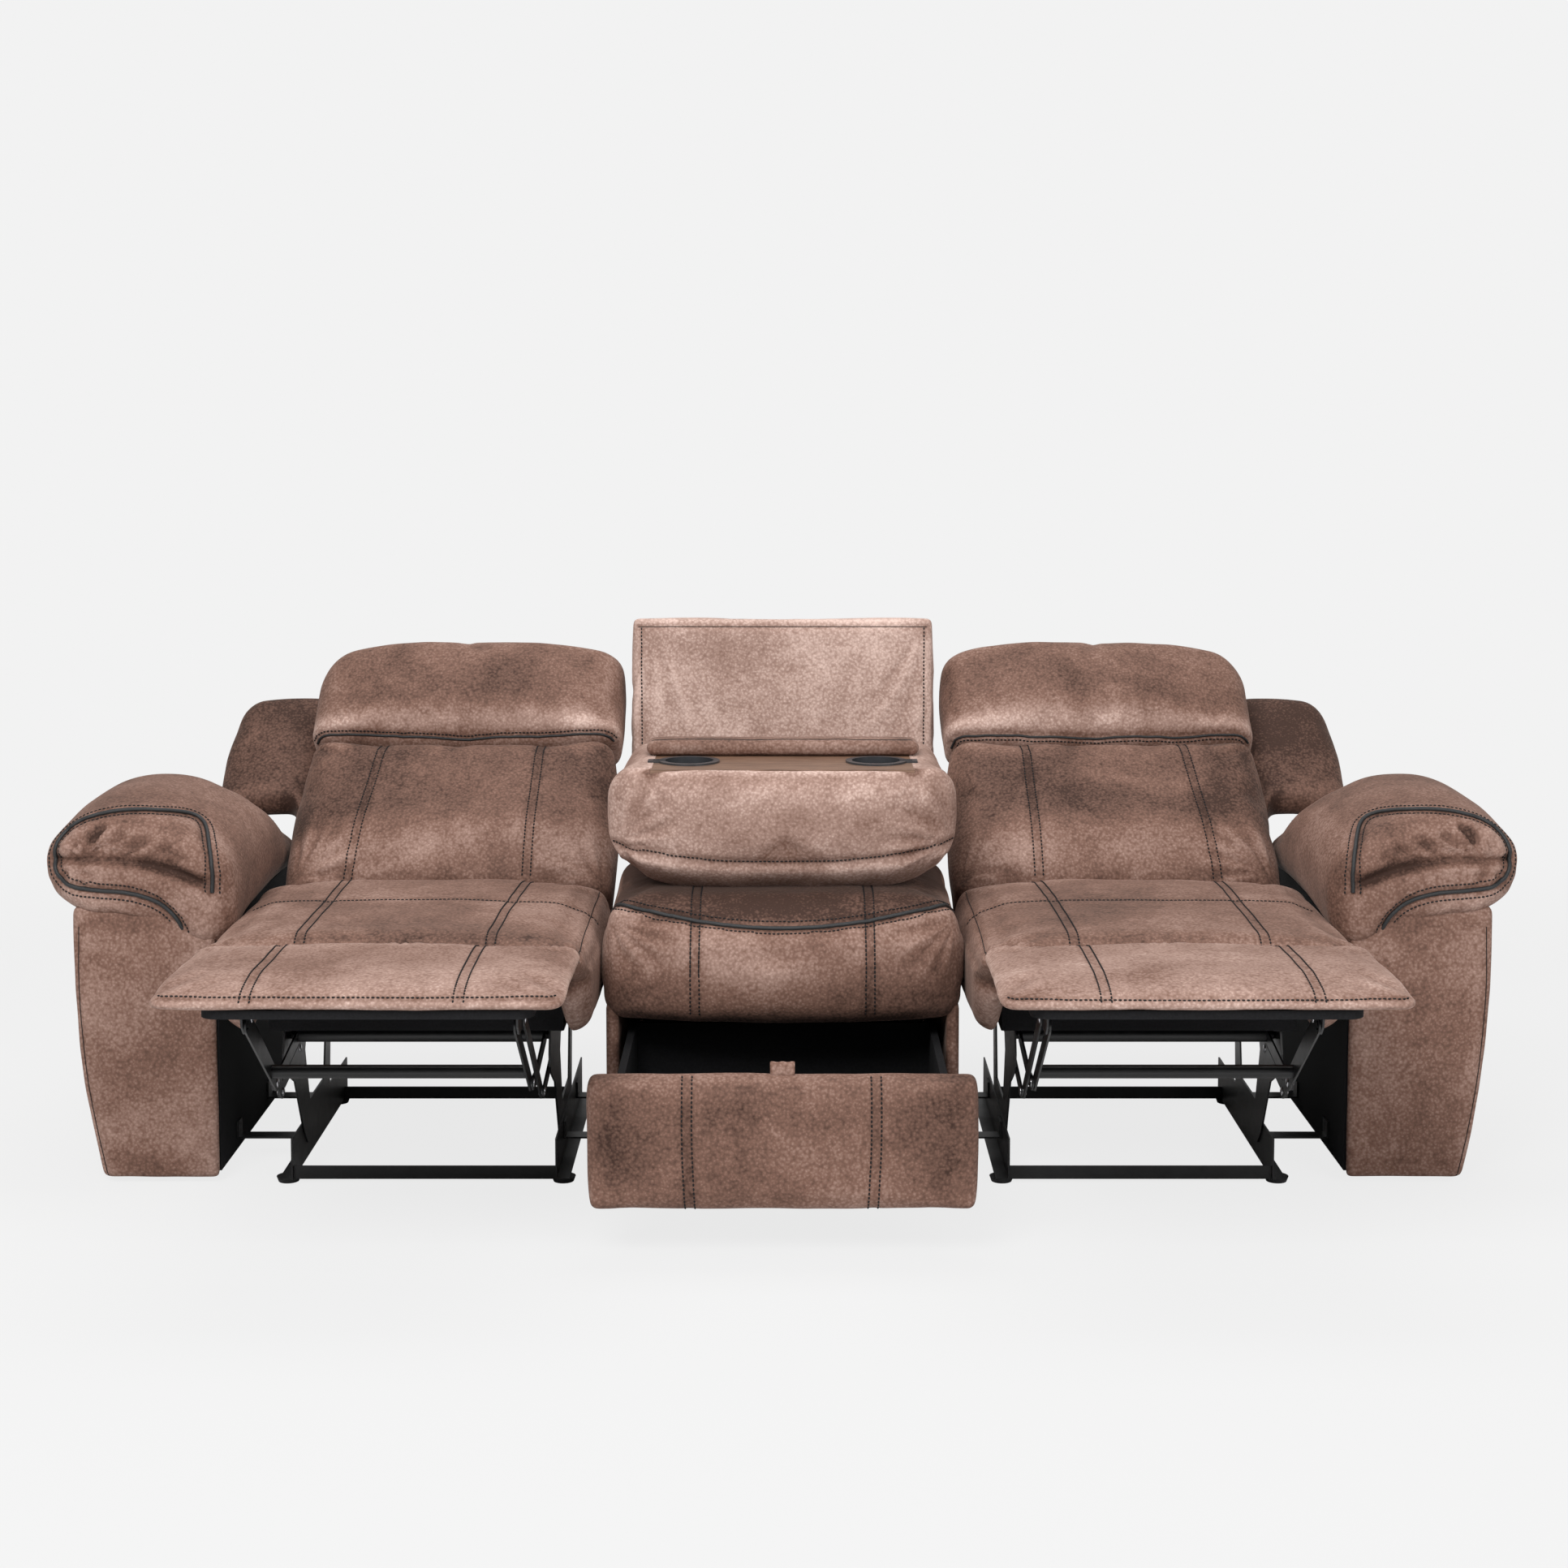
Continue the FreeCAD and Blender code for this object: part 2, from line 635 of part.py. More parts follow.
def back_lumbar():
    # main pad: a roll round the hinge line at its foot, crowned front and drawn-in sides
    x0 = seat_centre_x - back_width / 2
    x1 = seat_centre_x + back_width / 2
    y1 = back_pad_depth
    r = back_roll
    side = [(-r, 0), (0, -r, r, 0), (r + 6, 18), (y1, 56), (y1, lumbar_length)]
    side += [(-r + 2, lumbar_length), (-r - 11, lumbar_length - 6, -r - 16, lumbar_length - 22)]
    side += [(-r - 24, lumbar_length * 0.5, -r, 0)]
    solid = extrude_yz(side, x0, x1)
    section = [(x0 + 4, y1), (x0, 20, x0 + 10, -r + 4), (x0 + 18, -r - 8, x0 + 46, -r - 14)]
    section += [(seat_centre_x, -r - 26, x1 - 46, -r - 14), (x1 - 18, -r - 8, x1 - 10, -r + 4), (x1, 20, x1 - 4, y1)]
    solid = solid.common(extrude_xy(section, -r - 5, lumbar_length + 5))
    for xa, xb in ((x0 - 1, hinge_x0 + clear), (hinge_x1 - clear, x1 + 1)):
        solid = solid.cut(box(xa, xb, -r - 30, y1 + 1, -r - 5, 92))
    return turn_back(solid)


def back_headrest():
    # pillow above the cross seam: fuller front, round top
    x0 = seat_centre_x - back_width / 2
    x1 = seat_centre_x + back_width / 2
    y1 = back_pad_depth
    r = back_roll
    z0 = lumbar_length + 1.5
    z1 = back_length
    side = [(-r - 4, z0), (y1, z0), (y1 + 1, z1 - 40), (y1 - 30, z1 - 8, y1 - 74, z1 - 4)]
    side += [(-r - 8, z1 - 22, -r - 30, z1 - 82), (-r - 38, z0 + 60, -r - 22, z0 + 14), (-r - 15, z0 + 5, -r - 4, z0)]
    solid = extrude_yz(side, x0, x1)
    front = [(x0 + 8, z0), (x0, z0 + 70, x0 + 12, z1 - 70), (x0 + 30, z1 - 26, x0 + 84, z1 - 12)]
    front += [(seat_centre_x, z1, x1 - 84, z1 - 12), (x1 - 30, z1 - 26, x1 - 12, z1 - 70), (x1, z0 + 70, x1 - 8, z0)]
    solid = solid.common(extrude_xz(front, -r - 60, y1 + 5))
    section = [(x0, y1), (x0 + 2, 0, x0 + 26, -r - 14), (seat_centre_x, -r - 44, x1 - 26, -r - 14), (x1 - 2, 0, x1, y1)]
    return turn_back(solid.common(extrude_xy(section, z0 - 1, z1 + 1)))


def back_wing():
    # padded wing outside the cushion, carried by the back frame
    half = hinge_half + plate + clear
    x0 = seat_centre_x + half + plate
    xa = seat_centre_x + back_width / 2 + 3
    xb = xa + wing_width
    y0 = back_pad_depth - 22
    y1 = back_pad_depth + back_frame_depth
    plan = [(xa, 240), (xb - 14, 240), (xb, 350, xb - 16, 450), (xb - 34, 508, xb - 92, 520), (xa, 514)]
    solid = extrude_xz(plan, y0, y1)
    section = [(xa, y0 + 4), (xa + 60, y0, xb - 30, y0 + 6), (xb, y0 + 24, xb - 14, y1), (xa, y1)]
    solid = solid.common(extrude_xy(section, 235, 525))
    tongue = box(x0, xa, back_pad_depth + clear, y1, 250, 440)
    return turn_back(solid.fuse(tongue).removeSplitter())


# middle seat

half_middle = middle_width / 2
deck_z = 290.0


def middle_boards():
    parts = []
    for sign in (1, -1):
        x0 = min(sign * (half_middle - 4), sign * (half_middle - 4 - side_board))
        parts.append(box(x0, x0 + side_board, middle_front_y, middle_rear_y, 30, deck_z))
    return parts


def middle_deck():
    half = half_middle - 4 - side_board
    deck = box(-half, half, middle_front_y + 12, middle_rear_y, deck_z - 12, deck_z)
    rear = box(-half, half, middle_rear_y - side_board, middle_rear_y, 30, deck_z - 12)
    tie = box(-half, half, middle_rear_y - 160, middle_rear_y - side_board, 30, 42)
    return deck.fuse([rear, tie]).removeSplitter()


def middle_cushion():
    # seat pad: crowned top, boxing that bows over the front
    z0 = deck_z + 0.3
    z1 = middle_top_z
    y0 = middle_front_y - 62
    y1 = -26.0
    x1 = half_middle
    section = [(-x1 + 6, z0), (x1 - 6, z0), (x1, z0 + 70, x1 - 6, z1 - 24), (x1 - 12, z1 - 12, x1 - 30, z1 - 8)]
    section += [(0, z1, -x1 + 30, z1 - 8), (-x1 + 12, z1 - 12, -x1 + 6, z1 - 24), (-x1, z0 + 70, -x1 + 6, z0)]
    side = [(middle_front_y + 2, z0), (y0 + 18, z0 + 14, y0 + 6, z0 + 60), (y0 + 2, z1 - 50, y0 + 24, z1 - 16)]
    side += [(y0 + 80, z1, y0 + 160, z1), (y1, z1), (y1, z0)]
    plan = [(-x1, y1), (-x1, y0 + 60), (-x1 + 10, y0 + 34, -x1 + 50, y0 + 24), (0, y0, x1 - 50, y0 + 24)]
    plan += [(x1 - 10, y0 + 34, x1, y0 + 60), (x1, y1)]
    solid = extrude_xz(section, y0 - 1, y1).common(extrude_yz(side, -x1 - 1, x1 + 1))
    return solid.common(extrude_xy(plan, z0 - 1, z1 + 1))


def middle_feet():
    feet = []
    for x in (-half_middle + 14, half_middle - 14):
        for y in (middle_front_y + 40, middle_rear_y - 40):
            feet.append(Part.makeCone(10, 12, 30, V(x, y, 0), V(0, 0, 1)))
    return feet


# drawer, drawn pulled out

drawer_front_y = middle_front_y - 1 - drawer_open
slide_height = 34.0
slide_z = 140.0


def drawer_box():
    # open box of five boards
    t = 11.0
    half = drawer_width / 2 - 8
    y0 = drawer_front_y
    y1 = y0 + drawer_depth
    z0 = drawer_bottom_z + 16
    z1 = drawer_top_z - 26
    outer = box(-half, half, y0, y1, z0, z1)
    return outer.cut(box(-half + t, half - t, y0 + t, y1 - t, z0 + t, z1 + 1))


def drawer_face():
    # padded front: pillowed face over a board, turned in at the edges
    x1 = half_middle
    y1 = drawer_front_y - 0.3
    y0 = y1 - drawer_front_thick
    z0 = drawer_bottom_z
    z1 = drawer_top_z
    section = rounded(-x1, x1, z0, z1, 16, 3, 3, 3, 3)
    side = [(y1, z0), (y1, z1), (y0 + 16, z1), (y0 + 9, z1 - 4, y0 + 7, z1 - 14)]
    side += [(y0, (z0 + z1) / 2, y0 + 7, z0 + 14), (y0 + 9, z0 + 4, y0 + 16, z0)]
    return extrude_xz(section, y0, y1).common(extrude_yz(side, -x1, x1))


def drawer_tab():
    # pull strap: a folded band standing up from the top edge of the front
    z0 = drawer_top_z
    y = drawer_front_y - drawer_front_thick + 24
    side = [(y, z0), (y, z0 + 15), (y + 2.5, z0 + 20, y + 5, z0 + 15), (y + 5, z0)]
    return extrude_yz(side, -18, 18)


def drawer_slides_moving():
    parts = []
    half = drawer_width / 2 - 8
    for sign in (1, -1):
        x0 = min(sign * half, sign * (half + 4))
        parts.append(box(x0, x0 + 4, drawer_front_y + 4, drawer_front_y + drawer_depth - 4, slide_z + 8, slide_z + 26))
    return group(parts)


def drawer_slides_fixed():
    # C channels screwed to the side boards, open towards the drawer
    parts = []
    wall_x = half_middle - 4 - side_board
    half = drawer_width / 2 - 8
    inner = half + clear
    for sign in (1, -1):
        c = box(inner, wall_x, middle_front_y + 20, middle_front_y + 20 + drawer_depth + 2, slide_z, slide_z + slide_height)
        c = c.cut(box(inner - 1, half + 4 + 2, middle_front_y + 10, middle_front_y + 30 + drawer_depth,
                      slide_z + 7, slide_z + slide_height - 7))
        parts.append(c if sign > 0 else mirror(c))
    return parts


# fixed panel behind the console

def panel_pad():
    # upholstered board with boxed edges and a slightly crowned face
    x1 = panel_width / 2
    y0 = panel_offset
    y1 = panel_offset + panel_thick
    front = [(-x1 + 2, 0), (x1 - 2, 0), (x1 - 3, panel_height - 14), (x1 - 7, panel_height - 4, x1 - 18, panel_height - 1)]
    front += [(0, panel_height + 1, -x1 + 18, panel_height - 1), (-x1 + 7, panel_height - 4, -x1 + 3, panel_height - 14)]
    solid = extrude_xz(front, y0 - 1, y1)
    section = [(-x1 - 1, y1), (-x1 - 1, y0 + 10), (-x1 + 10, y0 + 3, -x1 + 22, y0 + 3), (0, y0, x1 - 22, y0 + 3)]
    section += [(x1 - 10, y0 + 3, x1 + 1, y0 + 10), (x1 + 1, y1)]
    side = [(y0, 0), (y1, 0), (y1, panel_height), (y1 - 8, panel_height + 2), (y0 + 12, panel_height + 2)]
    side += [(y0 + 2, panel_height - 2, y0, panel_height - 12)]
    solid = solid.common(extrude_xy(section, -1, panel_height + 3))
    return turn_panel(solid.common(extrude_yz(side, -x1, x1)))


def panel_posts():
    # two bent boards from the rear of the seat box up the back of the panel
    lean = math.radians(panel_lean)

    def spot(n, t):
        return (n * math.cos(lean) + t * math.sin(lean), console_pivot_z + t * math.cos(lean) - n * math.sin(lean))

    n0 = panel_offset + panel_thick + 0.3
    n1 = n0 + 24
    low_y = middle_rear_y + 0.3
    outline = [(low_y, 34), (low_y + 26, 34), spot(n1, -4), spot(n1, panel_height - 50), spot(n0, panel_height - 50)]
    outline += [spot(n0, -4)]
    parts = []
    for sign in (1, -1):
        x0 = min(sign * 170, sign * 220) * across
        parts.append(extrude_yz(outline, x0, x0 + 50 * across))
    return parts


# console, drawn folded down on the middle seat

console_rear_y = -15.0
console_front_y = console_rear_y - console_length
pocket_x = tray_width / 2 + 26
pocket_y0 = console_front_y + 34
pocket_y1 = console_rear_y - 16
core_wall = 14.0
core_floor_z = 520.0
tray_z0 = console_top_z - tray_thick - 1
tray_y0 = pocket_y0 - 16
tray_y1 = pocket_y1 - 0.3


def console_pillow():
    # thick rounded cushion with a pocket on top for the wooden core
    x1 = half_middle
    z0 = console_bottom_z
    z1 = console_top_z
    y0 = console_front_y
    y1 = console_rear_y
    section = [(-x1 + 60, z0), (x1 - 60, z0), (x1 - 22, z0 + 10, x1 - 5, z0 + 44), (x1, z0 + 92, x1 - 14, z1 - 54)]
    section += [(x1 - 28, z1 - 22, x1 - 60, z1), (-x1 + 60, z1), (-x1 + 28, z1 - 22, -x1 + 14, z1 - 54)]
    section += [(-x1, z0 + 92, -x1 + 5, z0 + 44), (-x1 + 22, z0 + 10, -x1 + 60, z0)]
    side = [(y0 + 44, z0), (y0 + 8, z0 + 16, y0 + 6, z0 + 58), (y0, z0 + 110, y0 + 18, z1 - 24), (y0 + 22, z1 - 6, y0 + 34, z1)]
    side += [(y1, z1), (y1, z0)]
    solid = extrude_xz(section, y0 - 1, y1).common(extrude_yz(side, -x1 - 1, x1 + 1))
    plan = [(-x1 - 1, y1), (-x1 - 1, y0 + 60), (-x1 + 24, y0 + 26, -x1 + 90, y0 + 12), (0, y0, x1 - 90, y0 + 12)]
    plan += [(x1 - 24, y0 + 26, x1 + 1, y0 + 60), (x1 + 1, y1)]
    solid = solid.common(extrude_xy(plan, z0 - 1, z1 + 1))
    solid = solid.cut(box(-pocket_x, pocket_x, pocket_y0, pocket_y1, core_floor_z - 12, z1 + 1))
    solid = solid.cut(box(-tray_width / 2, tray_width / 2, tray_y0, pocket_y0 + 1, tray_z0, z1 + 1))
    for sign in (1, -1):
        x = sign * console_arm_x
        solid = solid.cut(box(x - 2.5, x + 2.5, pocket_y1 - 1, y1 + 1, core_floor_z - 44, z1 + 1))
    for sign in (1, -1):
        x = sign * console_arm_x
        solid = solid.cut(box(x - 2.5, x + 2.5, pocket_y1 - 90, y1 + 1, core_floor_z - 44, core_floor_z))
    return solid


console_arm_x = pocket_x - 20.0


def console_core():
    # open wooden box that the tray closes; its sides are rebated for the hinge arms
    g = 0.3
    outer = box(-pocket_x + g, pocket_x - g, pocket_y0 + g, pocket_y1 - g, core_floor_z - 12, tray_z0)
    inner = box(-pocket_x + core_wall, pocket_x - core_wall, pocket_y0 + core_wall, pocket_y1 - core_wall, core_floor_z, tray_z0 + 1)
    return outer.cut(inner)


def cup_spots():
    return [(sign * cup_spacing / 2, tray_y0 + cup_setback) for sign in (1, -1)]


def cup_outline(x, y, sign, grow):
    # round cup with a narrow slot to the outside for a mug's handle
    r = cup_radius + grow
    w = 6.0 + grow
    shape = cyl(x, y, 0, r, 1, V(0, 0, 1))
    x0 = min(x, x + sign * (cup_radius + 19 + grow))
    x1 = max(x, x + sign * (cup_radius + 19 + grow))
    return shape.fuse(box(x0, x1, y - w, y + w, 0, 1)).removeSplitter()


def raised(shape, z0, z1):
    m = FreeCAD.Matrix()
    m.scale(1, 1, z1 - z0)
    out = shape.transformGeometry(m)
    out.translate(V(0, 0, z0))
    return out


def console_tray():
    body = box(-tray_width / 2 + 0.3, tray_width / 2 - 0.3, tray_y0 + 0.3, tray_y1, tray_z0 + 0.1, tray_z0 + tray_thick)
    for sign, (x, y) in zip((1, -1), cup_spots()):
        body = body.cut(cyl(x, y, tray_z0 - 1, cup_radius + 3.3, tray_thick + 3, V(0, 0, 1)))
        x0 = min(x, x + sign * (cup_radius + 22.3))
        x1 = max(x, x + sign * (cup_radius + 22.3))
        body = body.cut(box(x0, x1, y - 9.3, y + 9.3, tray_z0 - 1, tray_z0 + tray_thick + 2))
    return body


def cup_holders():
    # flanged plastic cups with a handle slot and a low fin across the floor
    parts = []
    z1 = tray_z0 + tray_thick
    z0 = z1 - cup_depth
    for sign, (x, y) in zip((1, -1), cup_spots()):
        slot0 = min(x, x + sign * (cup_radius + 22))
        slot1 = max(x, x + sign * (cup_radius + 22))
        lip0 = min(x, x + sign * (cup_radius + 27))
        lip1 = max(x, x + sign * (cup_radius + 27))
        body = cyl(x, y, z0, cup_radius + 3, cup_depth, V(0, 0, 1))
        body = body.fuse(box(slot0, slot1, y - 9, y + 9, z0 + 12, z1))
        body = body.fuse(cyl(x, y, z1 + 0.1, cup_radius + 10, 3, V(0, 0, 1)))
        body = body.fuse(cyl(x, y, z1 - 1, cup_radius + 3, 2, V(0, 0, 1)))
        body = body.fuse(box(lip0, lip1, y - 12, y + 12, z1 + 0.1, z1 + 3.1))
        body = body.fuse(box(slot0, slot1, y - 9, y + 9, z1 - 1, z1 + 1))
        body = body.cut(cyl(x, y, z0 + 3, cup_radius, cup_depth + 10, V(0, 0, 1)))
        in0 = min(x, x + sign * (cup_radius + 19))
        in1 = max(x, x + sign * (cup_radius + 19))
        body = body.cut(box(in0, in1, y - 6, y + 6, z0 + 15, z1 + 10))
        body = body.fuse(box(x - 1.5, x + 1.5, y - cup_radius - 0.5, y + cup_radius + 0.5, z0 + 2.5, z0 + 12))
        parts.append(body.removeSplitter())
    return group(parts)


def console_bar():
    # padded strip across the rear of the tray, rounded along its front edge
    x1 = pocket_x - 11.0
    y0 = tray_y0 + bar_setback
    z0 = tray_z0 + tray_thick + 0.2
    z1 = z0 + 26
    side = [(y0 + 6, z0), (y0 - 1, z0 + 12, y0 + 10, z1 - 2), (y0 + 16, z1), (y0 + 78, z1 - 4), (y0 + 80, z0)]
    return extrude_yz(side, -x1, x1).common(extrude_xy(rounded(-x1, x1, y0 - 4, y0 + 84, 10), z0, z1))


def console_arms():
    # hinge arms let into the underside of the core, with an eye on the hinge line
    parts = []
    eye_y = 0.0
    for sign in (1, -1):
        x = sign * console_arm_x - plate / 2
        outline = [(pocket_y1 - 80, core_floor_z - 12.3), (pocket_y1 - 80, core_floor_z - 34), (eye_y, console_pivot_z - 11)]
        outline += [(eye_y + 11, console_pivot_z, eye_y, console_pivot_z + 11), (pocket_y1, core_floor_z - 12.3)]
        body = extrude_yz(outline, x, x + plate)
        body = body.cut(cyl(x - 1, eye_y, console_pivot_z, 5.0 + running_fit, plate + 2, V(1, 0, 0)))
        parts.append(body)
    return group(parts)


def console_stands():
    # fixed uprights from the deck to the hinge line, each with its pin
    parts = []
    for sign in (1, -1):
        inner = sign * (console_arm_x + plate / 2 + clear)
        x0 = min(inner, inner + sign * plate)
        outline = [(-11, deck_z + 3), (24, deck_z + 3), (11, console_pivot_z), (0, console_pivot_z + 11, -11, console_pivot_z)]
        body = extrude_yz(outline, x0, x0 + plate)
        foot_x = min(inner, inner + sign * 26)
        body = body.fuse(box(foot_x, foot_x + 26, -11, 24, deck_z, deck_z + 3))
        x_pin = min(inner, sign * (console_arm_x - plate / 2 - 1.0))
        length = abs(inner - sign * (console_arm_x - plate / 2 - 1.0)) + 0.5
        start = x_pin if sign > 0 else x_pin - 0.5
        body = body.fuse(cyl(start, 0, console_pivot_z, 5.0, length, V(1, 0, 0)))
        parts.append(body.removeSplitter())
    return parts


def rear_reach():
    # rearmost point of the laid back frame
    lean = math.radians(back_lean)
    depth = back_pad_depth + back_frame_depth
    return back_pivot_y + (back_length - 30) * math.sin(lean) + depth * math.cos(lean)


front_reach = origin_y + rest_centre - rest_length / 2
shift_y = -(front_reach + rear_reach()) / 2


def save(name, shape):
    # the origin lies on the floor under the middle of the sofa's own box
    shape.translate(V(0, shift_y, 0))
    solids = len(shape.Solids)
    if not shape.isValid():
        print("INVALID", name)
    box_ = shape.BoundBox
    print("%-24s solids %2d  x %7.1f %7.1f  y %7.1f %7.1f  z %6.1f %6.1f" % (
        name, solids, box_.XMin, box_.XMax, box_.YMin, box_.YMax, box_.ZMin, box_.ZMax))
    shape.exportStep("parts/%s.step" % name)


os.makedirs("parts", exist_ok=True)

# pieces drawn for the right hand side and mirrored for the left
for side_name, flip in (("right", False), ("left", True)):
    pairs = [
        ("arm_%s_body", arm_body()),
        ("arm_%s_lower_pad", arm_lower_pad()),
        ("arm_%s_upper_pad", arm_upper_pad()),
        ("seat_%s_box", seat_box()),
        ("seat_%s_cushion", seat_cushion()),
        ("footrest_%s_link_a", link_a()),
        ("footrest_%s_link_b", link_b()),
        ("footrest_%s_link_c", link_c()),
        ("footrest_%s_link_d", link_d()),
        ("footrest_%s_brackets", rest_bracket()),
        ("footrest_%s_board", rest_panel()),
        ("footrest_%s_cushion", rest_cushion()),
        ("back_%s_frame", back_frame()),
        ("back_%s_hinges", back_hinge_moving()),
        ("back_%s_lumbar", back_lumbar()),
        ("back_%s_headrest", back_headrest()),
        ("back_%s_wing", back_wing()),
    ]
    for name, shape in pairs:
        save(name % side_name, mirror(shape) if flip else shape)


def twice(shapes):
    return group(shapes + [mirror(s) for s in shapes])


save("arm_frames", twice([arm_frame()]))
save("arm_linings", twice([arm_lining()]))
save("seat_webbing", twice(seat_webbing()))
save("mech_side_plates", twice([carrier_plate(1), carrier_plate(-1)]))
save("base_rails", twice(base_rails()))
save("base_bars", twice(base_bars() + base_ties()))
save("base_glides", twice(base_glides()))
save("back_hinge_plates", twice(back_hinge_fixed()))
save("middle_sides", group(middle_boards()))
save("middle_deck", middle_deck())
save("middle_cushion", middle_cushion())
save("feet", group(twice(arm_feet()).Solids + middle_feet()))
save("drawer_slides", group(drawer_slides_fixed()))
save("drawer_runners", drawer_slides_moving())
save("drawer_box", drawer_box())
save("drawer_front", drawer_face())
save("drawer_tab", drawer_tab())
save("console_panel", panel_pad())
save("console_posts", group(panel_posts()))
save("console_stands", group(console_stands()))
save("console_hinge_arms", console_arms())
save("console_core", console_core())
save("console_pillow", console_pillow())
save("console_tray", console_tray())
save("console_cups", cup_holders())
save("console_bar", console_bar())
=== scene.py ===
import bpy
import bmesh
import json
import math
import numpy as np
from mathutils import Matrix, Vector, noise
from mathutils.bvhtree import BVHTree

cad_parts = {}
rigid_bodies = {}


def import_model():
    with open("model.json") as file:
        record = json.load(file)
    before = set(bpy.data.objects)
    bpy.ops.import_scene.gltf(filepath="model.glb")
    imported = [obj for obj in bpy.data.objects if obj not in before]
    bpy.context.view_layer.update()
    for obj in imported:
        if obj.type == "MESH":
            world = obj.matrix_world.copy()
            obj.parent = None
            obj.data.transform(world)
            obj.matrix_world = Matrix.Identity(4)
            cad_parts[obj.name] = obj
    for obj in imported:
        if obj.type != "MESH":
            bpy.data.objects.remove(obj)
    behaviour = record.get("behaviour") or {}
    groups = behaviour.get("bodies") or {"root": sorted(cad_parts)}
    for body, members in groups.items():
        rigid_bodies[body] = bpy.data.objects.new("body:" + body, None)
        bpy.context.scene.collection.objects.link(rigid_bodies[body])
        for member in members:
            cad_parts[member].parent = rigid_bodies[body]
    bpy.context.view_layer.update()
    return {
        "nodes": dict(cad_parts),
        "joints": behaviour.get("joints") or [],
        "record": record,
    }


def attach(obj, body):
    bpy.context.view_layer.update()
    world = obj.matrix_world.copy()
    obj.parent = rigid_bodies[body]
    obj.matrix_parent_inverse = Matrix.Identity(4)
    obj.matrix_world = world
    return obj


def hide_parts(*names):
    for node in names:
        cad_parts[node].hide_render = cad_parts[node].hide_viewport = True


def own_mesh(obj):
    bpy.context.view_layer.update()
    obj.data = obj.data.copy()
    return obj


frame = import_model()


# node trees

def node(tree, kind, **values):
    # a node with its properties and input values set by name
    n = tree.nodes.new(kind)
    for key, value in values.items():
        if hasattr(n, key):
            setattr(n, key, value)
        else:
            n.inputs[key.replace("_", " ")].default_value = value
    return n


def wire(tree, *pairs):
    for source, target in pairs:
        tree.links.new(source, target)


def grey(value):
    return (value, value, value, 1)


def splitByCamera(tree, out, lit, seen):
    # camera rays meet one shader, all other rays the other
    mix = node(tree, "ShaderNodeMixShader")
    rays = node(tree, "ShaderNodeLightPath")
    wire(tree, (rays.outputs["Is Camera Ray"], mix.inputs[0]), (lit.outputs[0], mix.inputs[1]),
         (seen.outputs[0], mix.inputs[2]), (mix.outputs[0], out.inputs[0]))


# camera, plain background and lights

cameraSettings = {
    "place": (0.0022, -4.0063, 1.2101), "pitch": 4.964, "clip": (0.05, 60),
    "sensor": 36, "focal": 3113.5 / 1932 * 36, "shift": -193 / 1932,
}
lampSettings = [
    {"name": "key", "place": (-1.2, -3.3, 3.3), "target": (0, -0.1, 0.35), "size": (2.2, 1.5), "watts": 158},
    {"name": "fill", "place": (2.6, -3.2, 2.4), "target": (0, -0.1, 0.35), "size": (2.4, 2.0), "watts": 64},
    {"name": "top", "place": (0, 0.6, 3.4), "target": (0, 0.2, 0.4), "size": (3.0, 1.4), "watts": 60},
]
worldSettings = {"seen": 0.888, "strength": 0.38}
floorSettings = {"size": 14, "seen": 0.800, "albedo": 0.07, "bounce": 0.8, "fade": (1.9, 3.6)}


def addToScene(name, data):
    obj = bpy.data.objects.new(name, data)
    bpy.context.scene.collection.objects.link(obj)
    return obj


def placeCamera(s):
    data = bpy.data.cameras.new("camera")
    cam = addToScene("camera", data)
    cam.location = s["place"]
    cam.rotation_euler = (math.radians(90 - s["pitch"]), 0, 0)
    data.lens = s["focal"]
    data.sensor_width = s["sensor"]
    data.shift_y = s["shift"]
    data.clip_start, data.clip_end = s["clip"]
    bpy.context.scene.camera = cam


def placeLamp(s):
    data = bpy.data.lights.new(s["name"], "AREA")
    data.shape = "RECTANGLE"
    data.size, data.size_y = s["size"]
    data.energy = s["watts"]
    lamp = addToScene(s["name"], data)
    lamp.location = s["place"]
    aim = Vector(s["target"]) - Vector(s["place"])
    lamp.rotation_euler = aim.to_track_quat("-Z", "Y").to_euler()


def makeWorld(s):
    world = bpy.data.worlds.new("plain")
    bpy.context.scene.world = world
    world.use_nodes = True
    tree = world.node_tree
    tree.nodes.clear()
    out = node(tree, "ShaderNodeOutputWorld")
    seen = node(tree, "ShaderNodeBackground", Color=grey(s["seen"]))
    lit = node(tree, "ShaderNodeBackground", Color=grey(1), Strength=s["strength"])
    splitByCamera(tree, out, lit, seen)


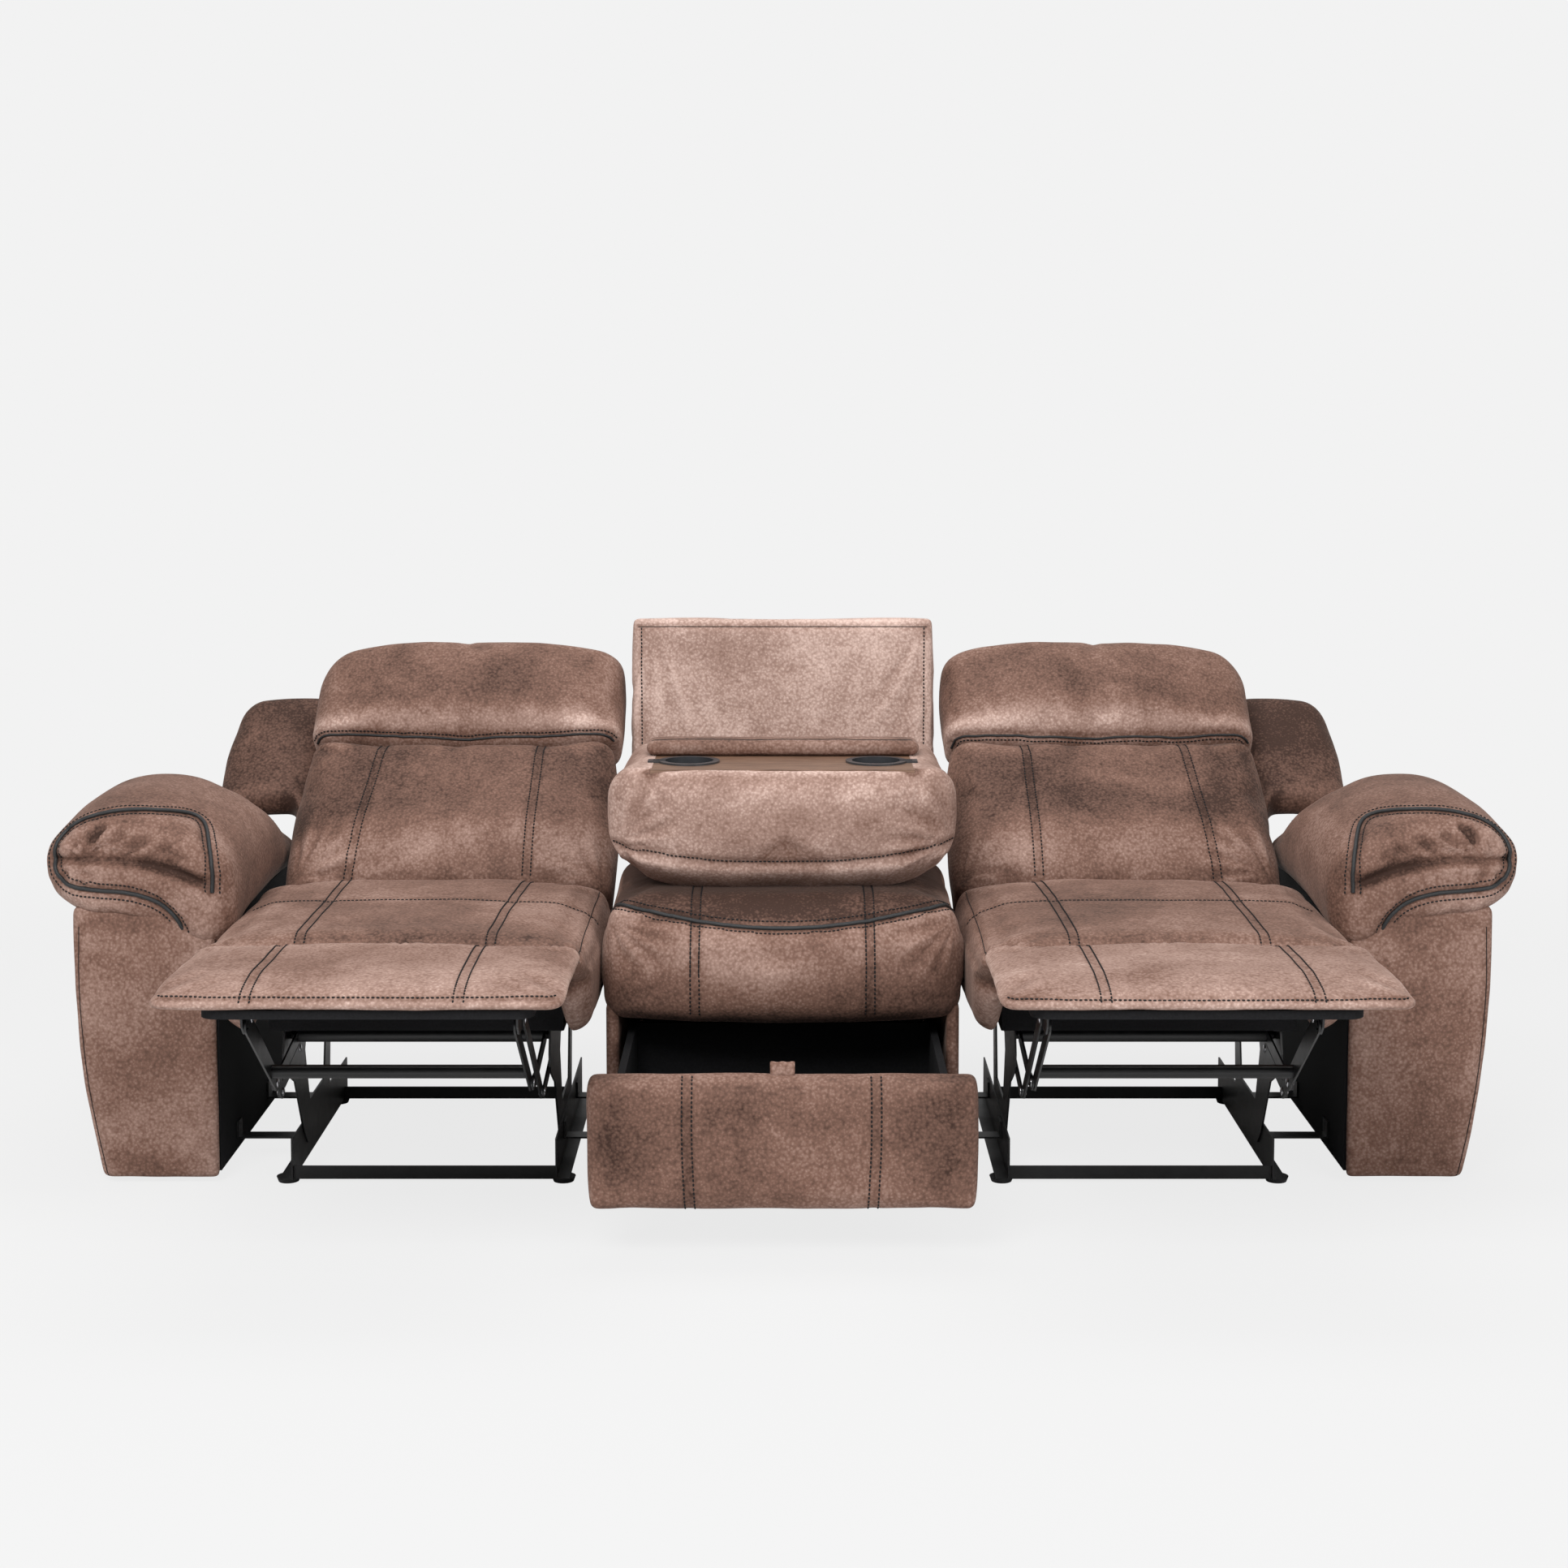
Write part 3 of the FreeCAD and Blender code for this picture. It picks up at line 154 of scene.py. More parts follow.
def makeFloor(s):
    # the camera sees it near the backdrop's grey, with the sofa's soft shadow on it
    half = s["size"] / 2
    corners = [(-half, -half, 0), (half, -half, 0), (half, half, 0), (-half, half, 0)]
    mesh = bpy.data.meshes.new("floor")
    mesh.from_pydata(corners, [], [(0, 1, 2, 3)])
    floor = addToScene("floor", mesh)
    m = bpy.data.materials.new("floor")
    m.use_nodes = True
    tree = m.node_tree
    tree.nodes.clear()
    out = node(tree, "ShaderNodeOutputMaterial")
    glow = node(tree, "ShaderNodeEmission", Color=grey(s["seen"]))
    shade = node(tree, "ShaderNodeBsdfDiffuse", Color=grey(s["albedo"]))
    plain = node(tree, "ShaderNodeBsdfDiffuse", Color=grey(s["bounce"]))
    both = node(tree, "ShaderNodeAddShader")
    clear = node(tree, "ShaderNodeBsdfTransparent")
    place = node(tree, "ShaderNodeTexCoord")
    far = node(tree, "ShaderNodeVectorMath", operation="LENGTH")
    near, end = s["fade"]
    fade = node(tree, "ShaderNodeMapRange", interpolation_type="SMOOTHSTEP", From_Min=near, From_Max=end)
    seen = node(tree, "ShaderNodeMixShader")
    wire(tree, (place.outputs["Object"], far.inputs[0]), (far.outputs["Value"], fade.inputs["Value"]),
         (glow.outputs[0], both.inputs[0]), (shade.outputs[0], both.inputs[1]),
         (fade.outputs[0], seen.inputs[0]), (both.outputs[0], seen.inputs[1]),
         (clear.outputs[0], seen.inputs[2]))
    splitByCamera(tree, out, plain, seen)
    mesh.materials.append(m)


placeCamera(cameraSettings)
makeWorld(worldSettings)
for s in lampSettings:
    placeLamp(s)
makeFloor(floorSettings)
bpy.context.scene.view_settings.view_transform = "Standard"
print("stage ready")


# materials

def newMaterial(name):
    m = bpy.data.materials.new(name)
    m.use_nodes = True
    tree = m.node_tree
    return m, tree, tree.nodes["Principled BSDF"], node(tree, "ShaderNodeTexCoord").outputs["Object"]


def texture(tree, place, kind="Noise", **values):
    n = node(tree, "ShaderNodeTex" + kind, **values)
    wire(tree, (place, n.inputs["Vector"]))
    return n


def mathNode(tree, operation, *values):
    n = node(tree, "ShaderNodeMath", operation=operation)
    for socket, value in zip(n.inputs, values):
        if isinstance(value, (int, float)):
            socket.default_value = value
        else:
            wire(tree, (value, socket))
    return n.outputs[0]


def swing(tree, level, source, share):
    # the level moved up and down by a share of a texture around its middle
    around = mathNode(tree, "SUBTRACT", source, 0.5)
    return mathNode(tree, "ADD", level, mathNode(tree, "MULTIPLY", around, share))


def ramp(tree, source, stops):
    n = node(tree, "ShaderNodeValToRGB")
    ends = n.color_ramp.elements
    ends[0].position, ends[0].color = stops[0][0], (*stops[0][1], 1)
    ends[1].position, ends[1].color = stops[-1][0], (*stops[-1][1], 1)
    for place, colour in stops[1:-1]:
        ends.new(place).color = (*colour, 1)
    wire(tree, (source, n.inputs[0]))
    return n.outputs[0]


def addBump(tree, skin, height, strength, distance):
    bump = node(tree, "ShaderNodeBump", Strength=strength, Distance=distance)
    wire(tree, (height, bump.inputs["Height"]), (bump.outputs[0], skin.inputs["Normal"]))


def addRoughness(tree, skin, source, low, high):
    span = node(tree, "ShaderNodeMapRange", To_Min=low, To_Max=high)
    wire(tree, (source, span.inputs["Value"]), (span.outputs[0], skin.inputs["Roughness"]))


fabricSettings = {
    "stops": [
        (0.0, (0.040, 0.019, 0.013)), (0.36, (0.165, 0.088, 0.064)),
        (0.66, (0.32, 0.207, 0.168)), (1.1, (0.62, 0.455, 0.395)),
    ],
    "base": 0.085,
    "cloud": (5.5, 0.72),
    "patch": (26.0, 0.32),
    "fleck": (440.0, 0.27),
    "pebble": (230.0, 0.42),
    "specular": 0.22,
    "sheen": (0.10, 0.45, (0.95, 0.74, 0.64, 1)),
    "rough": (0.78, 0.58),
    "bump": (0.6, 0.0011),
}


def makeFabric(s):
    # suede look cloth: clouded brown and a pebbled grain, with painted light and shade added from each piece's
    # baked attribute (a painted highlight where it is full, painted shade in hollows, at seams and at edges); each
    # texture has its scale and its share of the tone
    m, tree, skin, place = newMaterial("upholstery")
    cloud = texture(tree, place, Scale=s["cloud"][0], Detail=3.0, Roughness=0.5, Distortion=0.5)
    patch = texture(tree, place, Scale=s["patch"][0], Detail=6.0, Roughness=0.6, Distortion=0.8)
    fleck = texture(tree, place, Scale=s["fleck"][0], Detail=2.0, Roughness=0.6)
    pebble = texture(tree, place, "Voronoi", Scale=s["pebble"][0], Randomness=1.0, feature="SMOOTH_F1")
    wear = node(tree, "ShaderNodeAttribute", attribute_name="wear")
    level = mathNode(tree, "MULTIPLY_ADD", cloud.outputs["Fac"], s["cloud"][1], s["base"])
    level = swing(tree, level, patch.outputs["Fac"], s["patch"][1])
    # painted light and shade from the piece's baked attribute raises or lowers the colour level
    level = mathNode(tree, "ADD", level, wear.outputs["Fac"])
    level = swing(tree, level, fleck.outputs["Fac"], s["fleck"][1])
    pits = mathNode(tree, "MULTIPLY", pebble.outputs["Distance"], s["pebble"][1])
    level = mathNode(tree, "SUBTRACT", level, pits)
    wire(tree, (ramp(tree, level, s["stops"]), skin.inputs["Base Color"]))
    skin.inputs["Specular IOR Level"].default_value = s["specular"]
    for socket, value in zip(("Weight", "Roughness", "Tint"), s["sheen"]):
        skin.inputs["Sheen " + socket].default_value = value
    addRoughness(tree, skin, level, *s["rough"])
    grain = mathNode(tree, "MULTIPLY", fleck.outputs["Fac"], 0.25)
    addBump(tree, skin, mathNode(tree, "SUBTRACT", grain, pebble.outputs["Distance"]), *s["bump"])
    return m


def makePlain(name, colour, rough, metal=0.0, speck=0.0, scale=60.0, bump=0.0, specular=0.5):
    # one colour with slight unevenness of tone and polish
    m, tree, skin, place = newMaterial(name)
    uneven = texture(tree, place, Scale=scale, Detail=4.0, Roughness=0.6).outputs["Fac"]
    low = tuple(c * (1 - speck) for c in colour)
    high = tuple(min(1, c * (1 + speck)) for c in colour)
    wire(tree, (ramp(tree, uneven, [(0.3, low), (0.7, high)]), skin.inputs["Base Color"]))
    addRoughness(tree, skin, uneven, max(0.05, rough - 0.08), min(1.0, rough + 0.08))
    skin.inputs["Metallic"].default_value = metal
    skin.inputs["Specular IOR Level"].default_value = specular
    if bump:
        fine = texture(tree, place, Scale=scale * 8, Detail=2.0)
        addBump(tree, skin, fine.outputs["Fac"], bump, 0.0005)
    return m


def makeWood(name, dark, light, rough, along, coat=0.0):
    # grain lines stretched along one axis
    m, tree, skin, place = newMaterial(name)
    turn = node(tree, "ShaderNodeMapping", Scale=along)
    wire(tree, (place, turn.inputs["Vector"]))
    grained = turn.outputs[0]
    broad = texture(tree, grained, Scale=9.0, Detail=8.0, Roughness=0.65, Distortion=1.4)
    fine = texture(tree, grained, Scale=60.0, Detail=4.0, Roughness=0.7, Distortion=0.3)
    parts = [mathNode(tree, "MULTIPLY", n.outputs["Fac"], share) for n, share in ((broad, 0.7), (fine, 0.3))]
    level = mathNode(tree, "ADD", *parts)
    wire(tree, (ramp(tree, level, [(0.36, dark), (0.66, light)]), skin.inputs["Base Color"]))
    skin.inputs["Roughness"].default_value = rough
    skin.inputs["Coat Weight"].default_value = coat
    addBump(tree, skin, fine.outputs["Fac"], 0.25, 0.0004)
    return m


fabric = makeFabric(fabricSettings)
plainSettings = {
    "lining": ((0.008, 0.008, 0.009), 0.9, {"speck": 0.4, "scale": 300, "bump": 0.4, "specular": 0.2}),
    "webbing": ((0.02, 0.02, 0.022), 0.85, {"speck": 0.5, "scale": 400, "bump": 0.5, "specular": 0.2}),
    "glide_plastic": ((0.012, 0.012, 0.013), 0.5, {"speck": 0.2}),
    "cup_plastic": ((0.035, 0.036, 0.04), 0.33, {"speck": 0.1}),
    "slide_steel": ((0.42, 0.42, 0.43), 0.35, {"metal": 1.0, "speck": 0.1}),
    "black_steel": ((0.006, 0.006, 0.0065), 0.36, {"speck": 0.4, "scale": 40, "bump": 0.15, "specular": 0.45}),
    "cord_cloth": ((0.017, 0.018, 0.019), 0.5, {"speck": 0.35, "scale": 700, "bump": 0.5, "specular": 0.4}),
    "thread": ((0.006, 0.0055, 0.006), 0.7, {"speck": 0.3, "scale": 900, "specular": 0.3}),
    "rivet_steel": ((0.50, 0.50, 0.52), 0.28, {"metal": 1.0, "speck": 0.15, "scale": 200}),
}
materials = {name: makePlain(name, colour, rough, **more) for name, (colour, rough, more) in plainSettings.items()}
materials["upholstery"] = fabric
materials["frame_wood"] = makeWood("frame_wood", (0.30, 0.19, 0.10), (0.58, 0.42, 0.26), 0.7, (1, 12, 12))
materials["tray_wood"] = makeWood(
    "tray_wood", (0.085, 0.045, 0.028), (0.27, 0.155, 0.10), 0.38, (1.2, 14, 14), 0.1)
for row in frame["record"]["subparts"]:
    o = frame["nodes"].get(row["node"])
    if o:
        o.data.materials.clear()
        o.data.materials.append(materials[row["material_slot"]])
print("materials ready")


# meshes

def toMesh(name, points, faces, smooth=True):
    mesh = bpy.data.meshes.new(name)
    mesh.from_pydata([tuple(p) for p in points], [], faces)
    mesh.update()
    work = bmesh.new()
    work.from_mesh(mesh)
    bmesh.ops.recalc_face_normals(work, faces=work.faces)
    work.to_mesh(mesh)
    work.free()
    if smooth:
        smoothAll(mesh)
    return addToScene(name, mesh)


def smoothAll(mesh):
    mesh.polygons.foreach_set("use_smooth", [True] * len(mesh.polygons))


def pad(name, halves, radii, step, place):
    # closed block with rounded edges, bent to its form by place(x, y, z)
    counts = [max(2, round(2 * h / step)) for h in halves]
    points = []
    seen = {}
    faces = []

    def corner(key):
        if key not in seen:
            p = [2 * h * c / n - h for h, c, n in zip(halves, key, counts)]
            q = [max(r - h, min(h - r, v)) for v, h, r in zip(p, halves, radii)]
            d = [(v - w) / r for v, w, r in zip(p, q, radii)]
            size = math.sqrt(sum(v * v for v in d)) or 1.0
            seen[key] = len(points)
            points.append(place(*[w + r * v / size for w, r, v in zip(q, radii, d)]))
        return seen[key]

    for axis in range(3):
        a, b = [m for m in range(3) if m != axis]
        for end in (0, counts[axis]):
            for i in range(counts[a]):
                for j in range(counts[b]):
                    quad = []
                    for di, dj in ((0, 0), (1, 0), (1, 1), (0, 1)):
                        key = [0, 0, 0]
                        key[axis], key[a], key[b] = end, i + di, j + dj
                        quad.append(corner(tuple(key)))
                    faces.append(quad)
    return toMesh(name, points, faces)


def perPoint(vertices, what):
    flat = np.empty(len(vertices) * 3)
    vertices.foreach_get(what, flat)
    return flat.reshape(-1, 3)


def coordinates(obj):
    return perPoint(obj.data.vertices, "co")


def normalsOf(obj):
    return perPoint(obj.data.vertices, "normal")


def setCoordinates(obj, co):
    obj.data.vertices.foreach_set("co", co.ravel())
    obj.data.update()


def bake(obj):
    # the modified shape becomes the object's own mesh
    graph = bpy.context.evaluated_depsgraph_get()
    mesh = bpy.data.meshes.new_from_object(obj.evaluated_get(graph), depsgraph=graph)
    obj.modifiers.clear()
    obj.data = mesh
    mesh.name = obj.name


clothSettings = {
    "quality": 4, "mass": 0.25, "tension_stiffness": 25, "compression_stiffness": 25,
    "shear_stiffness": 8, "bending_stiffness": 0.4, "use_pressure": True,
}
clothFrames = 16


def inflate(obj, pressure, cap, hold):
    # stuffing pushes the cover out as a cloth; no point moves further than the cap
    scene = bpy.context.scene
    before = coordinates(obj)
    s = obj.modifiers.new("cloth", "CLOTH").settings
    for key, value in clothSettings.items():
        setattr(s, key, value)
    s.uniform_pressure_force = pressure
    s.effector_weights.gravity = 0
    group = obj.vertex_groups.new(name="hold")
    for i, p in enumerate(before):
        if hold(p):
            group.add([i], 1.0, "REPLACE")
    s.vertex_group_mass = "hold"
    for frameNumber in range(1, clothFrames + 1):
        scene.frame_set(frameNumber)
    graph = bpy.context.evaluated_depsgraph_get()
    after = perPoint(obj.evaluated_get(graph).data.vertices, "co")
    obj.modifiers.clear()
    scene.frame_set(1)
    move = np.nan_to_num(after - before)
    size = np.linalg.norm(move, axis=1)
    share = cap * np.tanh(size / cap) / np.maximum(size, 1e-9)
    setCoordinates(obj, before + move * share[:, None])


def refine(obj):
    sub = obj.modifiers.new("refine", "SUBSURF")
    sub.levels = sub.render_levels = 1
    bake(obj)
    smoothAll(obj.data)


def surfaceOf(obj):
    points = [Vector(p) for p in coordinates(obj)]
    return BVHTree.FromPolygons(points, [list(p.vertices) for p in obj.data.polygons])


def curveThrough(points, step=0.004):
    # even points on a smooth curve through the given ones
    pts = [Vector(p) for p in points]
    ends = [pts[0] * 2 - pts[1]] + pts + [pts[-1] * 2 - pts[-2]]
    fine = []
    for a, b, c, d in zip(ends, ends[1:], ends[2:], ends[3:]):
        n = max(2, int((c - b).length / step * 2))
        for i in range(n):
            t = i / n
            square = (2 * a - 5 * b + 4 * c - d) * t * t
            fine.append(0.5 * (2 * b + (c - a) * t + square + (3 * b - a - 3 * c + d) * t ** 3))
    fine.append(pts[-1])
    out = [fine[0]]
    for p in fine[1:]:
        if (p - out[-1]).length >= step:
            out.append(p)
    return out


def drape(points, tree, way, reach=0.4):
    # the curve laid on the surface along a direction, with the surface's normals
    way = Vector(way).normalized()
    laid = []
    for p in points:
        hit, normal = tree.ray_cast(p - way * reach, way, 2 * reach)[:2]
        if hit is None:
            continue
        if normal.dot(way) > 0:
            normal = -normal
        laid.append((hit, normal))
    return laid


farAway = 1e9


def groove(obj, line, width, depth):
    # the cover is drawn in along a seam line; gives each point's distance from it
    co = coordinates(obj)
    nor = normalsOf(obj)
    near = np.full(len(co), farAway)
    pts = np.array([tuple(p) for p in line])
    piece = 40
    for start in range(0, len(pts), piece):
        part = pts[start:start + piece + 1]
        lo = part.min(0) - 4 * width
        hi = part.max(0) + 4 * width
        pick = np.nonzero(((co > lo) & (co < hi)).all(1))[0]
        if len(pick):
            gap = np.linalg.norm(co[pick][:, None, :] - part[None], axis=2).min(1)
            near[pick] = np.minimum(near[pick], gap)
    drop = depth * np.exp(-(near / width) ** 2)
    setCoordinates(obj, co - nor * drop[:, None])
    return near


def smoothStep(a, b, x):
    t = np.clip((x - a) / (b - a), 0, 1)
    return t * t * (3 - 2 * t)


def pleats(obj, centre, axis, start, count, reach, depth, spread, seed):
    # folds that run out from a point around an axis, dying away with distance
    co = coordinates(obj)
    nor = normalsOf(obj)
    axis = Vector(axis).normalized()
    side = Vector(start) - axis * Vector(start).dot(axis)
    side.normalize()
    away = co - np.array(centre)
    x = away @ np.array(side)
    y = away @ np.array(axis.cross(side))
    far = np.sqrt(x * x + y * y)
    turn = np.arctan2(y, x)
    fade = smoothStep(0.0, 0.25 * reach, far) * (1 - smoothStep(0.35 * reach, reach, far))
    inside = 1 - smoothStep(0.7 * spread / 2, spread / 2, np.abs(turn))
    close = 1 - smoothStep(0.6 * reach, 1.2 * reach, np.linalg.norm(away, axis=1))
    wander = 2.1 * np.sin(turn * 2.3 + seed) + 30 * far * np.sin(seed * 3 + turn)
    wave = np.sin(turn * count + wander) ** 3
    setCoordinates(obj, co + nor * (depth * wave * fade * inside * close)[:, None])


def pleatsToward(obj, spot, goal, axis, *shape):
    pleats(obj, spot, axis, Vector(goal) - Vector(spot), *shape)


def ripple(obj, depth, size, seed, stretch=1):
    # slow unevenness of a stuffed cover
    co = coordinates(obj)
    nor = normalsOf(obj)
    move = np.empty(len(co))
    for i, p in enumerate(co):
        q = Vector((p[0], p[1] / stretch, p[2])) / size + Vector((seed, seed * 1.7, -seed))
        move[i] = noise.noise(q) + 0.35 * noise.noise(q * 2.3)
    setCoordinates(obj, co + nor * (depth * move)[:, None])


# seams, cord and stitches are gathered for each body and made at the end

sewn = {}
down = (0, 0, -1)
inward = (0, 1, 0)
sewing = {
    "pitch": 0.0066, "length": 0.0050, "thick": 0.0014, "twin": 0.0072, "lift": 0.0004,
    "cord": 0.0033, "piping": 0.0021, "edge": 0.0007,
}


def seam(points, way, kind="twin", depth=0.0018, width=0.009, **more):
    # points laid along a direction, what is sewn there, and how deep it draws the cover in
    return {"points": points, "way": way, "kind": kind, "depth": depth, "width": width, **more}


def keep(body, kind, laid, lift):
    sewn.setdefault((body, kind), []).append([tuple(p + n * lift) for p, n in laid])


def beside(laid, gap, tree):
    # a line next to a laid one, on the same surface
    out = []
    for i, (p, n) in enumerate(laid):
        a = laid[max(0, i - 2)][0]
        b = laid[min(len(laid) - 1, i + 2)][0]
        side = (b - a).cross(n)
        if side.length < 1e-9:
            continue
        hit, normal, index, far = tree.find_nearest(p + side.normalized() * gap)
        if far < 0.002 + 0.5 * abs(gap):
            out.append((hit, normal))
    return out


def sewPiece(obj, body, seams):
    # gives each point's distance from the nearest seam
    tree = surfaceOf(obj)
    curves = [curveThrough(s["points"]) for s in seams]
    lines = [[p for p, n in drape(curve, tree, s["way"])] for s, curve in zip(seams, curves)]
    near = np.full(len(obj.data.vertices), farAway)
    for s, line in zip(seams, lines):
        near = np.minimum(near, groove(obj, line, s["width"], s["depth"]))
    tree = surfaceOf(obj)
    for s, curve in zip(seams, curves):
        laid = drape(curve, tree, s["way"])
        kind = s["kind"]
        rows = s.get("rows", ())
        if kind == "twin":
            rows = (-sewing["twin"], sewing["twin"])
        elif kind in ("cord", "piping"):
            keep(body, kind, laid, 0.0010)
        elif kind == "edge":
            keep(body, kind, laid, 0.0003)
        for gap in rows:
            keep(body, "stitch", beside(laid, gap, tree), sewing["lift"])
    return near


# settings of the painted light and shade: highlight and shade from curvature, painted shade at the edges and along
# the seam grooves
paintedLightSettings = {
    "bend": 900, "range": (-0.24, 0.20), "blurs": 12, "blur": 0.6,
    "edge": 0.20, "edgeFrom": 0.74, "seam": 0.04, "seamWidth": 0.010,
}


def setPaintedLight(obj, near, tone=0.0, low=None):
    # painted light and shade: fuller parts get a painted highlight, while seams, hollows and the piece's edges get
    # painted shade
    w = paintedLightSettings
    mesh = obj.data
    co = coordinates(obj)
    nor = normalsOf(obj)
    edges = np.empty(len(mesh.edges) * 2, dtype=np.int32)
    mesh.edges.foreach_get("vertices", edges)
    a, b = edges.reshape(-1, 2).T
    weight = np.bincount(edges, minlength=len(co)).astype(float)

    def aroundEach(values):
        total = np.zeros_like(values)
        np.add.at(total, a, values[b])
        np.add.at(total, b, values[a])
        return total

    # painted highlight on crests and painted shade in hollows, from the smoothed curvature
    bend = ((co - aroundEach(co) / weight[:, None]) * nor).sum(1)
    for step in range(w["blurs"]):
        bend = (1 - w["blur"]) * bend + w["blur"] * aroundEach(bend) / weight
    middle = (co.max(0) + co.min(0)) / 2
    away = np.sort(np.abs(co - middle) / ((co.max(0) - co.min(0)) / 2), axis=1)[:, 1]
    # tone is the piece's painted light level: lighter where the piece faces the lamps, darker where it lies in
    # shade
    wear = np.clip(bend * w["bend"], *w["range"]) + tone
    # painted shade towards the piece's edges, where the surface turns away from the light
    wear -= w["edge"] * smoothStep(w["edgeFrom"], 1.0, away)
    # painted shade along the seam grooves
    wear -= w["seam"] * np.exp(-(near / w["seamWidth"]) ** 2)
    # painted bands of light or shadow given by the piece
    if low is not None:
        wear += low(co)
    layer = mesh.attributes.new("wear", "FLOAT", "POINT")
    layer.data.foreach_set("value", wear.astype(np.float32))


def dress(obj, body, nodes):
    obj.data.materials.clear()
    obj.data.materials.append(fabric)
    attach(obj, body)
    if nodes:
        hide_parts(*nodes)
    print("made", obj.name, len(obj.data.polygons))


def finishPad(obj, body, nodes, seams, tone, low=None):
    # tone is the piece's painted light level, and low adds its painted bands of light and shadow
    setPaintedLight(obj, sewPiece(obj, body, seams), tone, low)
    dress(obj, body, nodes)


def finishPlain(obj, body, nodes, tone):
    # tone is the piece's painted light level
    setPaintedLight(obj, np.full(len(obj.data.vertices), farAway), tone)
    dress(obj, body, nodes)


def cushion(name, halves, s, place, seed, hold=None):
    # block, stuffing, finer mesh and slow unevenness, by the piece's own settings
    o = pad(name, halves, s["radii"], s["step"], place)
    if hold:
        inflate(o, s["pressure"], s["cap"], hold)
    refine(o)
    ripple(o, *s["ripple"], seed, s.get("stretch", 1))
    return o


def nowhere(p):
    return False


def mixed(a, b, t):
    return a + (b - a) * max(0.0, min(1.0, t))


def steps(a, b, x):
    t = max(0.0, min(1.0, (x - a) / (b - a)))
    return t * t * (3 - 2 * t)


def unit(value, half):
    # 0 to 1 across a block that runs from -half to half
    return (value / half + 1) / 2


def tilted(pivot, lean):
    # points on a leaning back from x, depth behind the pivot and length up along it
    sin, cos = math.sin(math.radians(lean)), math.cos(math.radians(lean))

    def at(x, n, l):
        return (x, pivot[0] + n * cos + l * sin, pivot[1] - n * sin + l * cos)

    def along(co):
        return (co[:, 1] - pivot[0]) * sin + (co[:, 2] - pivot[1]) * cos
    return at, along, (0, cos, -sin)


sides = (("left", -1), ("right", 1))
twinSeams = (-0.139, 0.148)


# recliner seats

seat = {
    "x": 0.566, "front": -0.3655, "rear": 0.1715, "top": 0.437, "skirt": 0.247, "half": 0.281,
    "boxHalf": 0.228, "boxTop": 0.331, "notch": 0.362, "thick": 0.0875, "centre": -0.097,
    "radii": (0.032, 0.05, 0.036), "step": 0.011, "pressure": 2.2, "cap": 0.007, "ripple": (0.0022, 0.11),
}


def makeSeat(name, s):
    halfLength = (seat["rear"] - seat["front"]) / 2
    halfHeight = (seat["top"] - seat["skirt"]) / 2

    def place(x, y, z):
        u, v, t = x / seat["half"], y / halfLength, unit(z, halfHeight)
        overBox = 1 - steps(seat["boxHalf"], seat["boxHalf"] + 0.014, abs(x))
        floor = mixed(seat["boxTop"], seat["notch"], steps(-0.10, -0.2, v * halfLength + seat["centre"]))
        low = mixed(seat["skirt"] + 0.012 * u * u, floor, overBox)
        crown = 0.013 * ((1 - u * u) * (1 - v ** 4)) - 0.013
        crown += 0.004 * math.exp(-((v + 0.86) / 0.16) ** 2) * (1 - u * u)
        # the front leans back towards the bottom, the side lobes behind the folded footrest
        pull = mixed(-0.118, 0, steps(0.0, 0.72, t) if t < 0.72 else 1.0)
        lobe = 0.050 * steps(0, 0.55, t) + 0.068 * steps(0.585, 0.8, t) - 0.118
        Y = seat["centre"] + y - mixed(lobe, pull, overBox) * ((1 - v) / 2) ** 2
        bulge = 1 + 0.012 * math.sin(math.pi * t) - 0.012 * (1 - t)
        X = seat["x"] + x * bulge * (1 - 0.014 * steps(0.3, 1, -v)) + 0.027 * max(0, u) * steps(0, 0.7, t)
        return (s * X, Y, low + t * (seat["top"] + crown - low))

    halves = (seat["half"], halfLength, seat["thick"])
    o = cushion("cushion_seat_" + name, halves, seat, place, 3.1 + s, lambda p: p[2] < 0.37)
    for x in (-0.23, 0.02, 0.24):
        pleats(o, (s * (seat["x"] + x), -0.36, 0.425), (0, 0, 1), inward, 9, 0.10, 0.0016, 2.6, x + s)
    top = 0.43
    lines = []
    for x in twinSeams:
        way = ((x * 1.05, 0.15), (x, -0.1), (x * 0.98, -0.352))
        lines.append(seam([(s * (seat["x"] + a), y, top) for a, y in way], down))
    across = [(s * (seat["x"] + x), -0.052 - 0.03 * (1 - (x / 0.28) ** 2), top)
              for x in (-0.272, -0.14, 0, 0.14, 0.272)]
    lines.append(seam(across, down, "single", 0.0015, rows=(0.0,)))
    inner = seat["x"] - 0.262
    edge = ((inner, 0.13, top), (inner, -0.15, top), (inner - 0.002, -0.30, top), (inner - 0.004, -0.345, 0.41))
    lines.append(seam([(s * x, y, z) for x, y, z in edge], down, "edge", 0.002, 0.005))
    finishPad(o, "sofa", ["seat_%s_cushion" % name], lines, 0.06)


# footrest cushions

rest = {
    "x": 0.573, "front": -0.6865, "rear": -0.3765, "low": 0.404, "top": 0.437, "half": 0.28,
    "radii": (0.022, 0.026, 0.0155), "step": 0.0085, "pressure": 2.0, "cap": 0.004, "ripple": (0.0016, 0.10),
}


